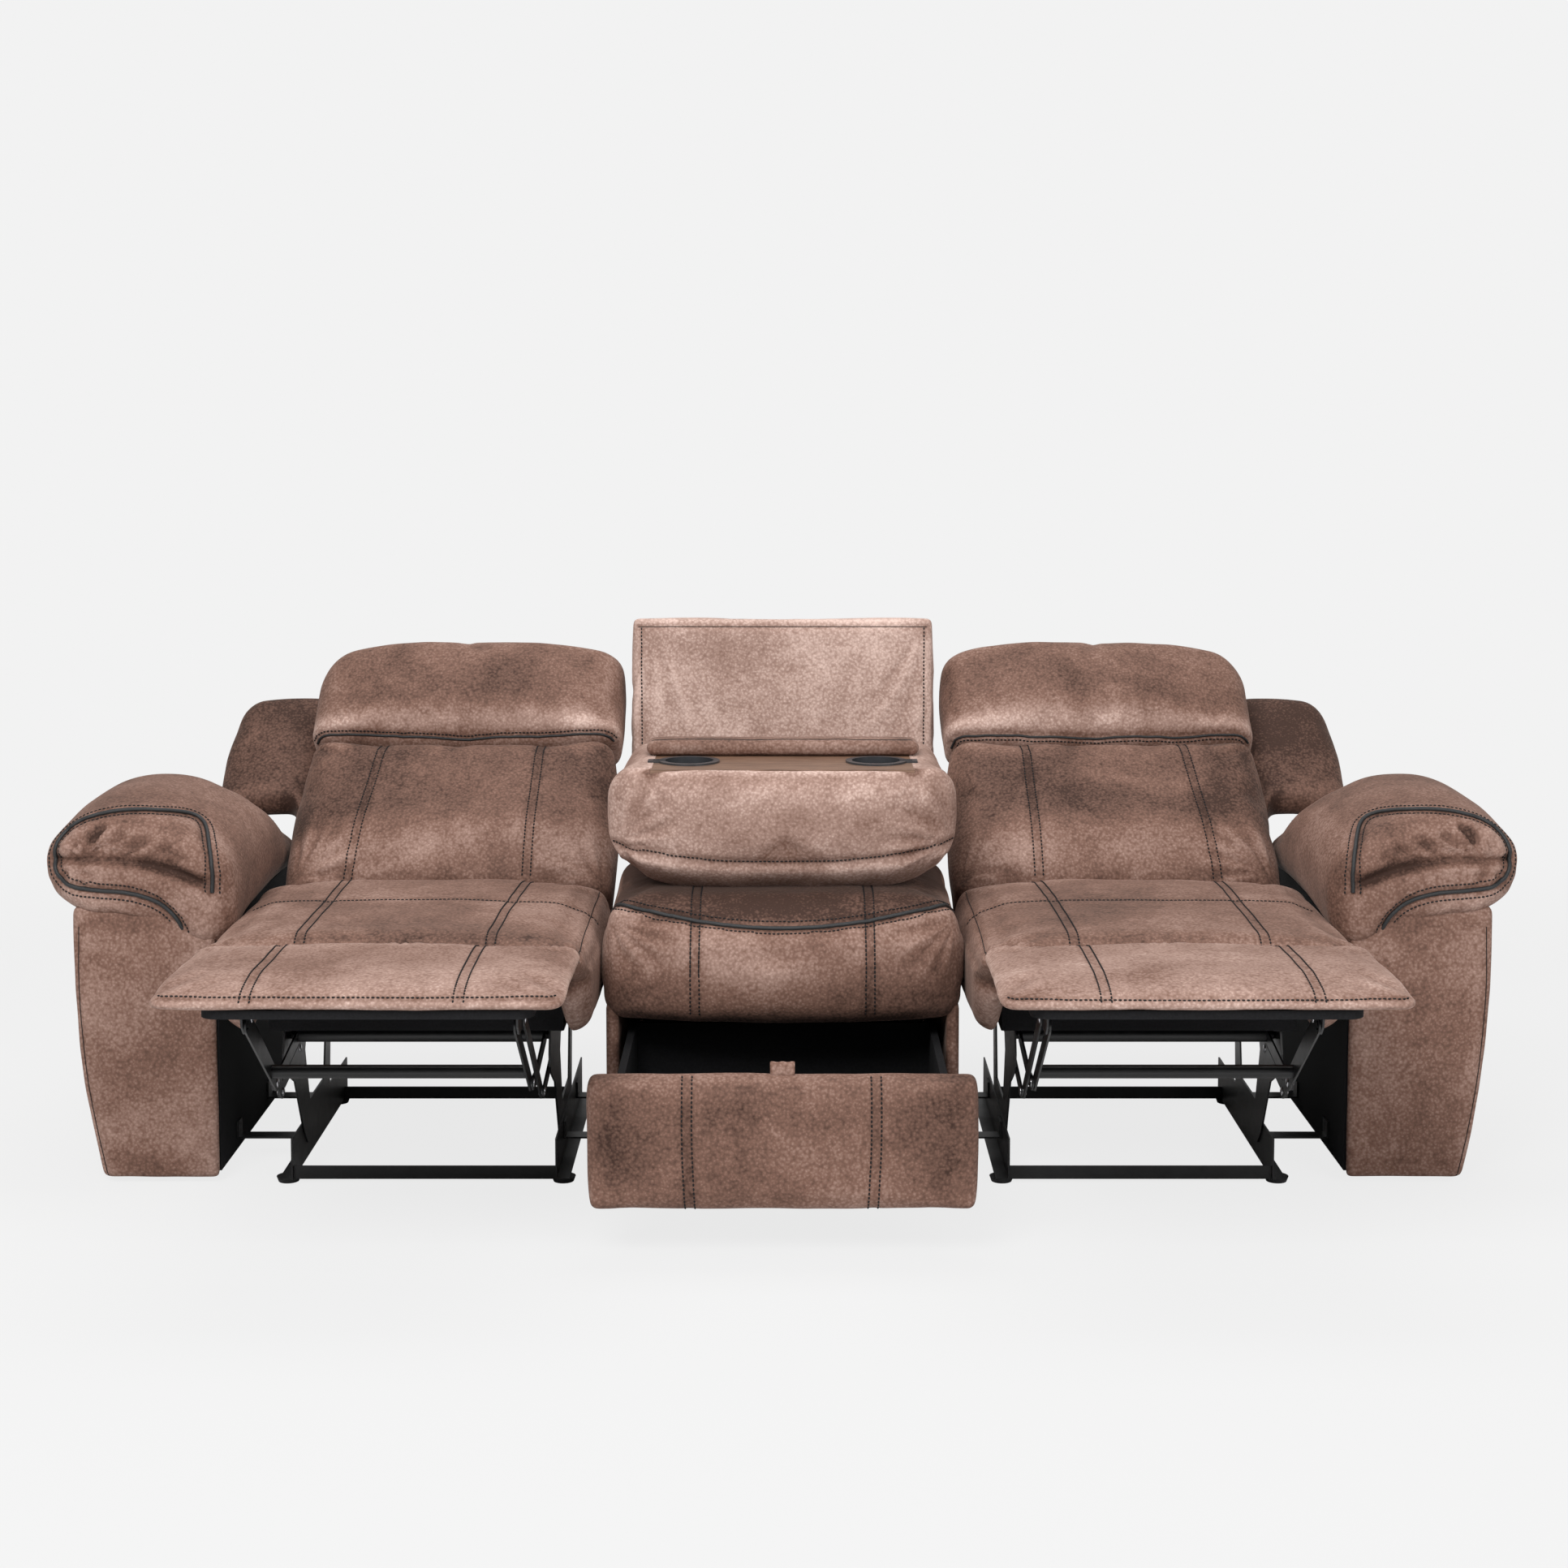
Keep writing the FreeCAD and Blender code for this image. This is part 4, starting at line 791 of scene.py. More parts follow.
def makeRest(name, s):
    halfLength = (rest["rear"] - rest["front"]) / 2
    halfHeight = (rest["top"] - rest["low"]) / 2
    middle = (rest["rear"] + rest["front"]) / 2

    def place(x, y, z):
        u, v, t = x / rest["half"], y / halfLength, unit(z, halfHeight)
        crown = 0.004 * (1 - u * u) - 0.010 * steps(0.35, 1.0, -v) - 0.002 * steps(0.8, 1.0, v)
        top = rest["top"] - 0.003 + crown
        return (s * (rest["x"] + x), middle + y, rest["low"] + t * (top - rest["low"]))

    halves = (rest["half"], halfLength, halfHeight)
    o = cushion("cushion_footrest_" + name, halves, rest, place, 8.3 + s, lambda p: p[2] < 0.413)
    for x in (-0.22, -0.02, 0.17):
        spot = (s * (rest["x"] + x), rest["rear"], 0.43)
        pleats(o, spot, (0, 0, 1), (0, -1, 0), 11, 0.09, 0.0014, 2.4, x * 3 + s)
    lines = []
    for x in twinSeams:
        ends = (rest["rear"] - 0.006, -0.53, rest["front"] + 0.004)
        lines.append(seam([(s * (rest["x"] + x), y, 0.43) for y in ends], down))
    front = [(s * (rest["x"] + x), -0.72, 0.4215) for x in (-0.268, -0.1, 0.1, 0.268)]
    lines.append(seam(front, inward, "single", 0.003, 0.004, rows=(0.002,)))
    finishPad(o, "footrest_" + name, ["footrest_%s_cushion" % name], lines, 0.22)


# laid back seat backs, drawn along the back and then leaned

back = {"x": 0.566, "half": 0.28, "roll": 0.036, "lumbar": 0.329, "length": 0.574, "depth": 0.08}
onBack, alongBack, backWay = tilted((0.2135, 0.395), 50.0)
lumbar = {
    "halfDepth": 0.065, "radii": (0.045, 0.040, 0.022), "step": 0.011,
    "pressure": 2.2, "cap": 0.010, "ripple": (0.0028, 0.12),
}
headrest = {
    "halfDepth": 0.06, "inner": 0.070, "outer": 0.110, "radii": (0.038, 0.036, 0.018), "step": 0.010,
    "pressure": 2.2, "cap": 0.009, "ripple": (0.0026, 0.10),
}
outside = {
    "halves": (0.2555, 0.0165, 0.2445), "depth": 0.096, "length": 0.2855,
    "radii": (0.006, 0.006, 0.006), "step": 0.0125, "ripple": (0.0010, 0.11),
}
wing = {
    "halves": (0.085, 0.03, 0.137), "inner": 0.259, "outer": 0.446, "foot": 0.243, "top": 0.517, "rear": 0.107,
    "radii": (0.034, 0.026, 0.034), "step": 0.009, "pressure": 2.0, "cap": 0.006, "ripple": (0.0018, 0.09),
}


def leaned(s, x, n, l):
    return onBack(s * (back["x"] + x), n, l)


def makeLumbar(name, s):
    low, high = 0.005 - back["roll"], back["lumbar"]
    halfLength = (high - low) / 2

    def place(x, n, l):
        u, v, t = x / back["half"], unit(l, halfLength), unit(n, lumbar["halfDepth"])
        full = 0.020 * math.sin(math.pi * min(1, v * 1.02)) + 0.014 * math.exp(-((v - 0.34) / 0.18) ** 2)
        front = -back["roll"] - full * (1 - abs(u) ** 2.6) + 0.004
        wide = 1.0 + 0.012 * math.exp(-((v - 0.25) / 0.2) ** 2) - 0.022 * steps(0.75, 1, v)
        return leaned(s, x * wide, front + t * (back["depth"] - front), low + v * (high - low))

    halves = (back["half"], lumbar["halfDepth"], halfLength)
    o = cushion("cushion_lumbar_" + name, halves, lumbar, place, 5.7 + 2 * s, nowhere)
    for x, l, goal, *shape in (
            (0.255, 0.0, 0.19, 13, 0.16, 0.0042, 2.4, 0.4),
            (-0.262, 0.0, 0.17, 13, 0.11, 0.0030, 2.2, 1.7),
            (0.27, 0.32, 0.2, 11, 0.12, 0.0026, 2.0, 2.2)):
        pleatsToward(o, leaned(s, x, -0.02, l), leaned(s, 0.0, -0.02, goal), backWay, *shape)
    lines = []
    for x0, x1 in ((-0.139, -0.135), (0.137, 0.165)):
        points = ((x0, 0.318), (x0 * 0.6 + x1 * 0.4, 0.17), (x1, 0.0))
        lines.append(seam([leaned(s, x, -0.1, l) for x, l in points], backWay))

    # painted highlight along the lumbar's lower roll, where it faces the light, with the rest painted slightly
    # darker
    def paintedLightBands(co):
        return 0.30 * np.exp(-((alongBack(co) - 0.050) / 0.050) ** 2) - 0.10
    finishPad(o, "back_" + name, ["back_%s_lumbar" % name], lines, -0.035, paintedLightBands)


def makeHeadrest(name, s):
    low, high = back["lumbar"] + 0.004, back["length"]
    halfLength = (high - low) / 2

    def place(x, n, l):
        corner = headrest["outer"] if x > 0 else headrest["inner"]
        u, v, t = x / back["half"], unit(l, halfLength), unit(n, headrest["halfDepth"])
        L = low + v * (high - low)
        rise = max(0.0, L - (high - corner)) / corner
        wide = (back["half"] - corner * (1 - math.sqrt(max(0, 1 - rise ** 2.2)))) / back["half"]
        full = 0.034 * math.sin(math.pi * (0.14 + 0.66 * v)) * (1 - abs(u) ** 3.4)
        front = -back["roll"] + 0.006 - full + 0.030 * steps(0.80, 1.0, v) ** 1.6
        rear = back["depth"] - 0.03 * steps(0.6, 1.0, v)
        return leaned(s, x * wide * (1 - 0.012 * (1 - v)), front + t * (rear - front), L - 0.012 * u * u * v)

    halves = (back["half"], headrest["halfDepth"], halfLength)
    o = cushion("cushion_headrest_" + name, halves, headrest, place, 11.3 + 3 * s, nowhere)
    for x, deep in ((-0.19, 0.0016), (0.02, 0.0014), (0.20, 0.0022)):
        spot, goal = leaned(s, x, -0.05, 0.330), leaned(s, x, -0.05, 0.5)
        pleatsToward(o, spot, goal, backWay, 11, 0.085, deep, 2.2, 5 * x)
    bow = [leaned(s, x, -0.1, 0.3345 + 0.006 * (x / 0.28) ** 2) for x in (-0.270, -0.14, 0, 0.14, 0.25, 0.270)]
    lines = [seam(bow, backWay, "piping", 0.003, 0.006, rows=(0.008,))]

    # painted highlight along the headrest's lower bulge, where it faces the light
    def paintedLightBands(co):
        return 0.32 * np.exp(-((alongBack(co) - 0.356) / 0.024) ** 2)
    finishPad(o, "back_" + name, ["back_%s_headrest" % name], lines, -0.03, paintedLightBands)


def makeOutsideBack(name, s):
    # the cover drawn over the frame behind the cushions
    half = outside["halves"][0]

    def place(x, n, l):
        swell = 0.003 * (1 - (x / half) ** 2) * (n > 0)
        return leaned(s, x, outside["depth"] + n + swell, outside["length"] + l)

    o = cushion("outside_back_" + name, outside["halves"], outside, place, 17.0 + s)
    finishPad(o, "back_" + name, [], [], -0.05)


def makeWing(name, s):
    def place(x, n, l):
        u, t, v = x / wing["halves"][0], unit(n, wing["halves"][1]), unit(l, wing["halves"][2])
        foot = wing["foot"] - 0.060 * steps(0.4, 1.0, -u)
        outer = wing["outer"] - 0.012 * steps(0.45, 0.85, v) - 0.010 * steps(0.80, 1.0, v)
        X = wing["inner"] + (outer - wing["inner"]) * (u + 1) / 2
        front = 0.060 - 0.010 * (1 - u * u)
        L = foot + v * (wing["top"] - foot) - 0.004 * (u + 1) * v
        return leaned(s, X, front + t * (wing["rear"] - front), L)

    o = cushion("wing_" + name, wing["halves"], wing, place, 21.3 + s, nowhere)
    # the wing's colour is lowered as painted shade
    finishPad(o, "back_" + name, ["back_%s_wing" % name], [], -0.26)


# arms: a pillow roll over a tapered body

arm = {
    "front": -0.1525, "rear": 0.4365, "low": 0.400, "top": 0.610, "half": 0.145,
    "radii": (0.045, 0.045, 0.045), "step": 0.011,
    "pressure": 2.4, "cap": 0.008, "ripple": (0.0026, 0.13), "stretch": 1.6,
    # inner and outer X of the roll at heights
    "heights": (0.360, 0.398, 0.425, 0.460, 0.50, 0.54, 0.575, 0.60, 0.612),
    "inner": (0.874, 0.866, 0.858, 0.853, 0.852, 0.857, 0.872, 0.90, 0.93),
    "outer": (1.060, 1.083, 1.110, 1.137, 1.148, 1.150, 1.146, 1.136, 1.120),
    # lines on the front of the roll, in X and Z
    "tuck": ((1.134, 0.514), (1.10, 0.513), (1.06, 0.516), (1.00, 0.511), (0.94, 0.497), (0.895, 0.478)),
    "loop": (
        (0.884, 0.462), (0.884, 0.495), (0.893, 0.532), (0.918, 0.563), (0.955, 0.578), (1.0, 0.584),
        (1.05, 0.581), (1.095, 0.568), (1.122, 0.545), (1.130, 0.515), (1.122, 0.488), (1.095, 0.472),
        (1.055, 0.467), (1.01, 0.463), (0.97, 0.450), (0.94, 0.424), (0.924, 0.388),
    ),
    "under": ((1.093, 0.428), (1.04, 0.426), (1.0, 0.420), (0.972, 0.408)),
    # creases above and below the tuck: start, end and depth
    "folds": (
        ((1.100, 0.520), (1.092, 0.545), 0.005), ((1.080, 0.522), (1.056, 0.562), 0.007),
        ((1.066, 0.522), (1.024, 0.552), 0.007), ((1.048, 0.520), (1.004, 0.540), 0.005),
        ((1.020, 0.518), (0.982, 0.548), 0.006), ((0.985, 0.512), (0.950, 0.534), 0.005),
        ((0.955, 0.504), (0.928, 0.520), 0.004), ((1.085, 0.508), (1.076, 0.490), 0.003),
        ((1.120, 0.510), (1.108, 0.492), 0.003),
    ),
}


def makeArmRoll(name, s):
    halfLength = (arm["rear"] - arm["front"]) / 2
    halfHeight = (arm["top"] - arm["low"]) / 2

    def place(x, y, z):
        u, v, t = x / arm["half"], unit(y, halfLength), unit(z, halfHeight)
        height = arm["low"] + t * (arm["top"] - arm["low"])
        inner, outer = [float(np.interp(height, arm["heights"], arm[side])) for side in ("inner", "outer")]
        tail = steps(0.45, 1.0, v)
        outer -= 0.045 * tail * (0.4 + 0.6 * t)
        crest = arm["top"] - 0.014 - 0.016 * (1 - steps(0, 0.30, v)) - 0.100 * tail ** 1.3
        crest += 0.006 - 0.030 * abs(u) ** 2.4
        low = arm["low"] + (1 - v) ** 2 * (0.020 * steps(-0.2, 0.9, u) - 0.034 * steps(-0.1, -0.8, u))
        X = (inner + outer) / 2 + u * (outer - inner) / 2
        Y = arm["front"] + v * (arm["rear"] - arm["front"])
        Y += (1 - v) ** 6 * (0.030 * steps(0.62, 1.0, t) ** 1.5 + 0.012 * steps(0.5, 1, abs(u)) ** 2)
        Y -= 0.066 * v ** 5 * t
        return (s * X, Y, low + t * (crest - low))

    halves = (arm["half"], halfLength, halfHeight)
    o = cushion("arm_roll_" + name, halves, arm, place, 31.0 + 5 * s, lambda p: p[2] < 0.40)
    for x, z, up, *shape in (
            (1.075, 0.516, 1, 9, 0.085, 0.0030, 3.0, 0.6),
            (0.985, 0.513, 1, 11, 0.07, 0.0020, 2.6, 1.9),
            (1.10, 0.505, -1, 9, 0.06, 0.0035, 2.4, 2.9)):
        pleats(o, (s * x, arm["front"], z), inward, (0, 0, up), *shape)

    def onFront(points):
        return [(s * x, arm["front"] - 0.05, z) for x, z in points]

    lines = [
        seam(onFront(arm["tuck"]), inward, "none", 0.016, 0.008),
        seam(onFront(arm["loop"]), inward, "cord", 0.0045, 0.009, rows=(-0.012, 0.012)),
    ]
    for base, tip, deep in arm["folds"]:
        bent = ((base[0] + tip[0]) / 2 + 0.006, (base[1] + tip[1]) / 2 - 0.003)
        lines.append(seam(onFront((base, bent, tip)), inward, "none", deep * 1.9, 0.0060))
    lines.append(seam(onFront(arm["under"]), inward, "single", 0.002, 0.006, rows=(0.0,)))
    across = [(s * x, y, 0.60) for x, y in ((0.87, 0.26), (0.93, 0.245), (1.0, 0.24), (1.10, 0.245))]
    lines.append(seam(across, down, "single", 0.002, 0.006, rows=(0.0,)))

    # painted highlight across the front of the roll, low down at its lower part
    def paintedLightBands(co):
        return 0.16 * np.exp(-((co[:, 2] - 0.45) / 0.028) ** 2) * smoothStep(-0.10, -0.13, co[:, 1])
    finishPad(o, "sofa", ["arm_%s_upper_pad" % name, "arm_%s_lower_pad" % name], lines, 0.0, paintedLightBands)


armBody = {
    "halves": (0.11, 0.32, 0.21), "radii": (0.012, 0.012, 0.010), "step": 0.0095, "ripple": (0.0014, 0.12),
    "front": -0.1415, "rear": 0.4985, "low": 0.008, "inner": (0.8805, 0.8932), "panel": -0.131,
    # outer X at heights
    "heights": (0.008, 0.035, 0.085, 0.148, 0.211, 0.311, 0.45),
    "outers": (1.064, 1.0695, 1.0795, 1.090, 1.097, 1.103, 1.104),
}


def makeArmBody(name, s):
    b = armBody

    def place(x, y, z):
        u, v, t = x / b["halves"][0], unit(y, b["halves"][1]), unit(z, b["halves"][2])
        Y = b["front"] + v * (b["rear"] - b["front"])
        Z = b["low"] + t * (mixed(0.440, 0.402, steps(0.24, 0.36, Y)) - b["low"])
        outer = float(np.interp(Z, b["heights"], b["outers"]))
        inner = b["inner"][1] if Y > b["panel"] else b["inner"][0]
        X = (inner + outer) / 2 + u * (outer - inner) / 2
        if u > 0.3:
            X += 0.004 * math.sin(math.pi * t) * math.sin(math.pi * v)
        Y -= 0.007 * (1 - v) ** 8 * math.sin(math.pi * t) * (1 - u * u)
        return (s * X, Y, Z)

    o = cushion("arm_cover_" + name, b["halves"], b, place, 41.0 + s)
    pleats(o, (s * 0.90, b["front"], 0.38), inward, down, 9, 0.10, 0.0016, 2.6, 0.8)
    rim = [(x - 0.009, z) for x, z in zip(b["outers"][:-1], b["heights"])] + [(1.092, 0.41)]
    lines = [seam([(s * x, -0.2, z) for x, z in rim], inward, "edge", 0.002, 0.004)]
    finishPad(o, "sofa", ["arm_%s_body" % name], lines, 0.15)


for name, s in sides:
    for make in (makeSeat, makeRest, makeLumbar, makeHeadrest, makeOutsideBack, makeWing, makeArmRoll, makeArmBody):
        make(name, s)


# middle seat over the drawer

middle = {
    "half": 0.279, "front": -0.2185, "rear": 0.272, "top": 0.448, "low": 0.2905, "lip": 0.267,
    "radii": (0.03, 0.042, 0.034), "step": 0.010, "pressure": 2.2, "cap": 0.007, "ripple": (0.0024, 0.10),
    "bow": 0.097, "bowHalf": 0.268,
}


def makeMiddle():
    halfLength = (middle["rear"] - middle["front"]) / 2
    halfHeight = (middle["top"] - middle["low"]) / 2
    centre = (middle["rear"] + middle["front"]) / 2

    def bowed(x):
        return (x / middle["bowHalf"]) ** 2

    def place(x, y, z):
        u, v, t = x / middle["half"], unit(y, halfLength), unit(z, halfHeight)
        Y = centre + y
        low = mixed(middle["low"], middle["lip"], steps(-0.158, -0.162, Y) if Y > -0.162 else 1)
        top = middle["top"] - 0.008 * u * u - 0.030 * (1 - steps(0, 0.14, v)) + 0.002
        rounded = 0.030 * u ** 4 + 0.020 * u * u
        swell = 0.012 * math.sin(math.pi * min(1, 0.1 + t)) * (1 - u ** 4)
        Y += ((1 - v) ** 4) * (rounded - swell + 0.010)
        wide = 1 - 0.018 * (1 - math.sin(math.pi * min(1, max(0, 0.15 + 0.85 * t)))) * (1 - v)
        return (x * wide, Y, low + t * (top - low))

    halves = (middle["half"], halfLength, halfHeight)
    o = cushion("cushion_middle", halves, middle, place, 51.0, lambda p: p[2] < 0.30 and p[1] > -0.16)
    for s in (-1, 1):
        pleats(o, (s * 0.265, -0.19, 0.43), (0, 1, -0.3), (-s, 0, -0.6), 11, 0.14, 0.0028, 2.4, 1.1 + s)
        pleats(o, (s * 0.255, -0.20, 0.300), inward, (-s, 0, 0.9), 9, 0.10, 0.0018, 2.2, 2.0 + s)
    arc = [(x, -0.215 + middle["bow"] * bowed(x), 0.430 + 0.014 * bowed(x))
           for x in (-0.268, -0.2, -0.1, 0, 0.1, 0.2, 0.268)]
    lines = [seam(arc, (0, 1, -0.5), "cord", 0.004, 0.008, rows=(-0.011, 0.011))]
    for x in (-0.134, 0.134):
        lines.append(seam([(x, -0.05, 0.50), (x, -0.16, 0.48), (x, -0.25, 0.43)], (0, 0.5, -1)))
        lines.append(seam([(x, -0.30, 0.425), (x, -0.30, 0.36), (x, -0.30, 0.285)], inward))

    # painted shadow of the console pillow on the top behind the cord, and painted shade growing darker towards the
    # bottom of the front
    def paintedLightBands(co):
        behindCord = smoothStep(-0.218, -0.200, co[:, 1] - middle["bow"] * bowed(co[:, 0]))
        onTop = smoothStep(0.418, 0.430, co[:, 2])
        return -0.40 * behindCord * onTop - 0.22 * smoothStep(0.37, 0.28, co[:, 2])
    finishPad(o, "sofa", ["middle_cushion"], lines, 0.10, paintedLightBands)


post = {
    "x": 0.2640, "y": 0.1885, "low": 0.030, "height": 0.260, "halves": (0.010, 0.345, 0.13),
    "radii": (0.004, 0.006, 0.006), "step": 0.009,
}


def makeMiddlePost(name, s):
    def place(x, y, z):
        return (s * (post["x"] + x), post["y"] + y, post["low"] + unit(z, post["halves"][2]) * post["height"])

    o = pad("middle_post_" + name, post["halves"], post["radii"], post["step"], place)
    finishPlain(o, "sofa", ["middle_sides"], -0.02)


# drawer front and its loop tab

drawer = {
    "halves": (0.278, 0.022, 0.096), "radii": (0.012, 0.011, 0.014), "step": 0.0085,
    "pressure": 1.2, "cap": 0.003, "ripple": (0.0014, 0.09), "y": -0.4798, "low": 0.072, "height": 0.192,
}


def makeDrawerFront():
    halfWide, halfThick, halfHeight = drawer["halves"]

    def place(x, y, z):
        u, t = x / halfWide, unit(z, halfHeight)
        swell = 0.004 * (1 - u ** 4) * math.sin(math.pi * t) if y < 0 else 0
        wide = 1 - 0.008 * (1 - t)
        return (x * wide, drawer["y"] + y - swell, drawer["low"] + t * drawer["height"])

    o = cushion("drawer_cover", drawer["halves"], drawer, place, 61.0, lambda p: p[1] > -0.47)
    lines = []
    for x, foot in ((-0.1355, -0.1315), (0.133, 0.129)):
        lines.append(seam([(x, -0.6, 0.262), (x, -0.6, 0.17), (foot, -0.6, 0.074)], inward))
    finishPad(o, "drawer", ["drawer_front"], lines, -0.02)


loop = {
    "y": -0.4745, "foot": 0.262, "bend": 0.276, "radii": (0.0055, 0.0065), "turns": 12,
    "halfWide": 0.0178, "columns": 12, "thick": 0.0022, "keep": 0.4,
}


def makeTab():
    # a strip of cover folded to a loop, seen edge on from the side
    outline = [(-0.480, loop["foot"])]
    for i in range(loop["turns"] + 1):
        a = math.pi * i / loop["turns"]
        outline.append((loop["y"] - loop["radii"][0] * math.cos(a), loop["bend"] + loop["radii"][1] * math.sin(a)))
    outline.append((-0.469, loop["foot"]))
    columns = loop["columns"]
    n, w = len(outline), columns + 1
    points, faces = [], []
    for shrink in (0.0, loop["thick"]):
        for y, z in outline:
            inY = y + (loop["y"] - y) * (shrink / 0.006)
            inZ = z - (shrink if z > 0.27 else 0)
            for c in range(w):
                x = loop["halfWide"] * (2 * c / columns - 1)
                points.append((x, inY, inZ + 0.0006 * math.sin(c * 1.3)))
    for i in range(n - 1):
        for c in range(columns):
            for a in (i * w + c, (n + i) * w + c):
                faces.append((a, a + 1, a + w + 1, a + w))
        for c in (0, columns):
            a, b = i * w + c, (n + i) * w + c
            faces.append((a, a + w, b + w, b))
    for i in (0, n - 1):
        for c in range(columns):
            a, b = i * w + c, (n + i) * w + c
            faces.append((a, a + 1, b + 1, b))
    o = toMesh("drawer_loop", points, faces)
    refine(o)
    finishPlain(o, "drawer", ["drawer_tab"], 0.06)
    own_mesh(o)


makeMiddle()
for name, s in sides:
    makeMiddlePost(name, s)
makeDrawerFront()
makeTab()


# console: fixed panel behind, pillow with its tray, padded strip

panel = {
    "halves": (0.2735, 0.03, 0.2), "offset": 0.187, "thick": 0.060, "low": -0.0105, "high": 0.390,
    "radii": (0.010, 0.010, 0.010), "step": 0.0085, "pressure": 1.2, "cap": 0.003, "ripple": (0.0013, 0.10),
}
onPanel, alongPanel, panelWay = tilted((0.2985, 0.490), 12.0)


def makePanel():
    def place(x, n, h):
        u, t, v = x / panel["halves"][0], unit(n, panel["halves"][1]), unit(h, panel["halves"][2])
        front = panel["offset"] - 0.003 * (1 - u * u) * math.sin(math.pi * v)
        N = front + t * (panel["offset"] + panel["thick"] - front)
        return onPanel(x * (1 - 0.004 * (1 - v)), N, panel["low"] + v * (panel["high"] - panel["low"]))

    o = cushion("console_back_cover", panel["halves"], panel, place, 71.0, nowhere)
    for s in (-1, 1):
        spot, goal = onPanel(s * 0.248, 0.187, 0.372), onPanel(s * 0.21, 0.187, 0.1)
        pleatsToward(o, spot, goal, panelWay, 15, 0.30, 0.0022, 1.0, 0.7 + s)
    top = [onPanel(x, 0.1, 0.372) for x in (-0.262, -0.1, 0.1, 0.262)]
    lines = [seam(top, panelWay, "edge", 0.0022, 0.005)]
    for s in (-1, 1):
        side = [onPanel(s * x, 0.1, h) for x, h in ((0.256, 0.368), (0.254, 0.2), (0.252, 0.0))]
        lines.append(seam(side, panelWay, "single", 0.0012, 0.005, rows=(0.0,)))
    # the panel's colour is raised as painted light, since it faces the front lamps
    finishPad(o, "sofa", ["console_panel"], lines, 0.48)


pillow = {
    "half": 0.2765, "front": -0.1040, "rear": 0.2835, "low": 0.4537, "top": 0.645, "flat": 0.24,
    "radii": (0.043, 0.034, 0.050), "step": 0.010, "pressure": 2.4, "cap": 0.008, "ripple": (0.0022, 0.10),
    "pocket": ((-0.2066, -0.0722, 0.575), (0.2066, 0.40, 0.75)),
}


def cutBox(obj, lo, hi):
    # a straight sided pocket in a closed cushion
    points = [(x, y, z) for x in (lo[0], hi[0]) for y in (lo[1], hi[1]) for z in (lo[2], hi[2])]
    faces = [(0, 1, 3, 2), (4, 6, 7, 5), (0, 4, 5, 1), (2, 3, 7, 6), (0, 2, 6, 4), (1, 5, 7, 3)]
    tool = toMesh("pocket_tool", points, faces, False)
    cut = obj.modifiers.new("pocket", "BOOLEAN")
    cut.operation = "DIFFERENCE"
    cut.solver = "EXACT"
    cut.object = tool
    bake(obj)
    bpy.data.objects.remove(tool)


def makePillow():
    halfLength = (pillow["rear"] - pillow["front"]) / 2
    halfHeight = (pillow["top"] - pillow["low"]) / 2

    def place(x, y, z):
        u, v, t = x / pillow["half"], unit(y, halfLength), unit(z, halfHeight)
        face = (1 - v) ** 4
        wide = 1 - 0.004 * steps(0.55, 1.0, t) - 0.085 * (1 - steps(0.0, 0.42, t)) ** 1.5
        wide -= 0.045 * steps(0.12, 0.35, v) * steps(0.45, 0.8, t)
        under = 0.034 * (1 - steps(0.0, 0.26, t)) ** 1.3
        Y = pillow["front"] + v * (pillow["rear"] - pillow["front"])
        Y += face * (0.040 * abs(u) ** 3.6 + 0.003 * steps(0.62, 1.0, t) ** 1.5 + under)
        low = pillow["low"] - 0.002 - 0.010 * face + 0.030 * abs(u) ** 3
        return (x * wide, Y, low + t * (pillow["top"] - low))

    halves = (pillow["half"], halfLength, halfHeight)
    o = cushion("console_pillow_cover", halves, pillow, place, 81.0, lambda p: p[2] > 0.635 or p[1] > 0.26)
    co = coordinates(o)
    over = np.maximum(co[:, 2] - pillow["top"] + 0.0006, 0)
    co[:, 2] -= over * (np.abs(co[:, 0]) < pillow["flat"])
    setCoordinates(o, co)
    for s in (-1, 1):
        for x, z, start, *shape in (
                (0.262, 0.530, (-s, 0, 0.5), 11, 0.14, 0.0030, 2.4, 1.3 + s),
                (0.262, 0.520, (-s, 0, -0.5), 11, 0.09, 0.0024, 2.2, 2.4 + s),
                (0.215, 0.635, (-s * 0.2, 0, -1), 9, 0.09, 0.0014, 2.2, 3.4 + s)):
            pleats(o, (s * x, -0.06, z), inward, start, *shape)
    arc = ((-0.272, 0.5235), (-0.22, 0.513), (-0.11, 0.5005), (0.0, 0.4975),
           (0.11, 0.5015), (0.22, 0.515), (0.272, 0.5265))
    sewPiece(o, "console", [seam([(x, -0.3, z) for x, z in arc], inward, "single", 0.006, 0.008, rows=(-0.006,))])
    cutBox(o, *pillow["pocket"])
    smoothAll(o.data)
    # the pillow's colour is raised as painted light, since its front faces the lamps
    setPaintedLight(o, np.full(len(o.data.vertices), farAway), 0.30)
    dress(o, "console", ["console_pillow"])


strip = {
    "halves": (0.223, 0.0405, 0.013), "front": 0.0755, "low": 0.6445, "thick": 0.0255,
    "radii": (0.014, 0.014, 0.0125), "step": 0.006, "ripple": (0.0008, 0.05),
}


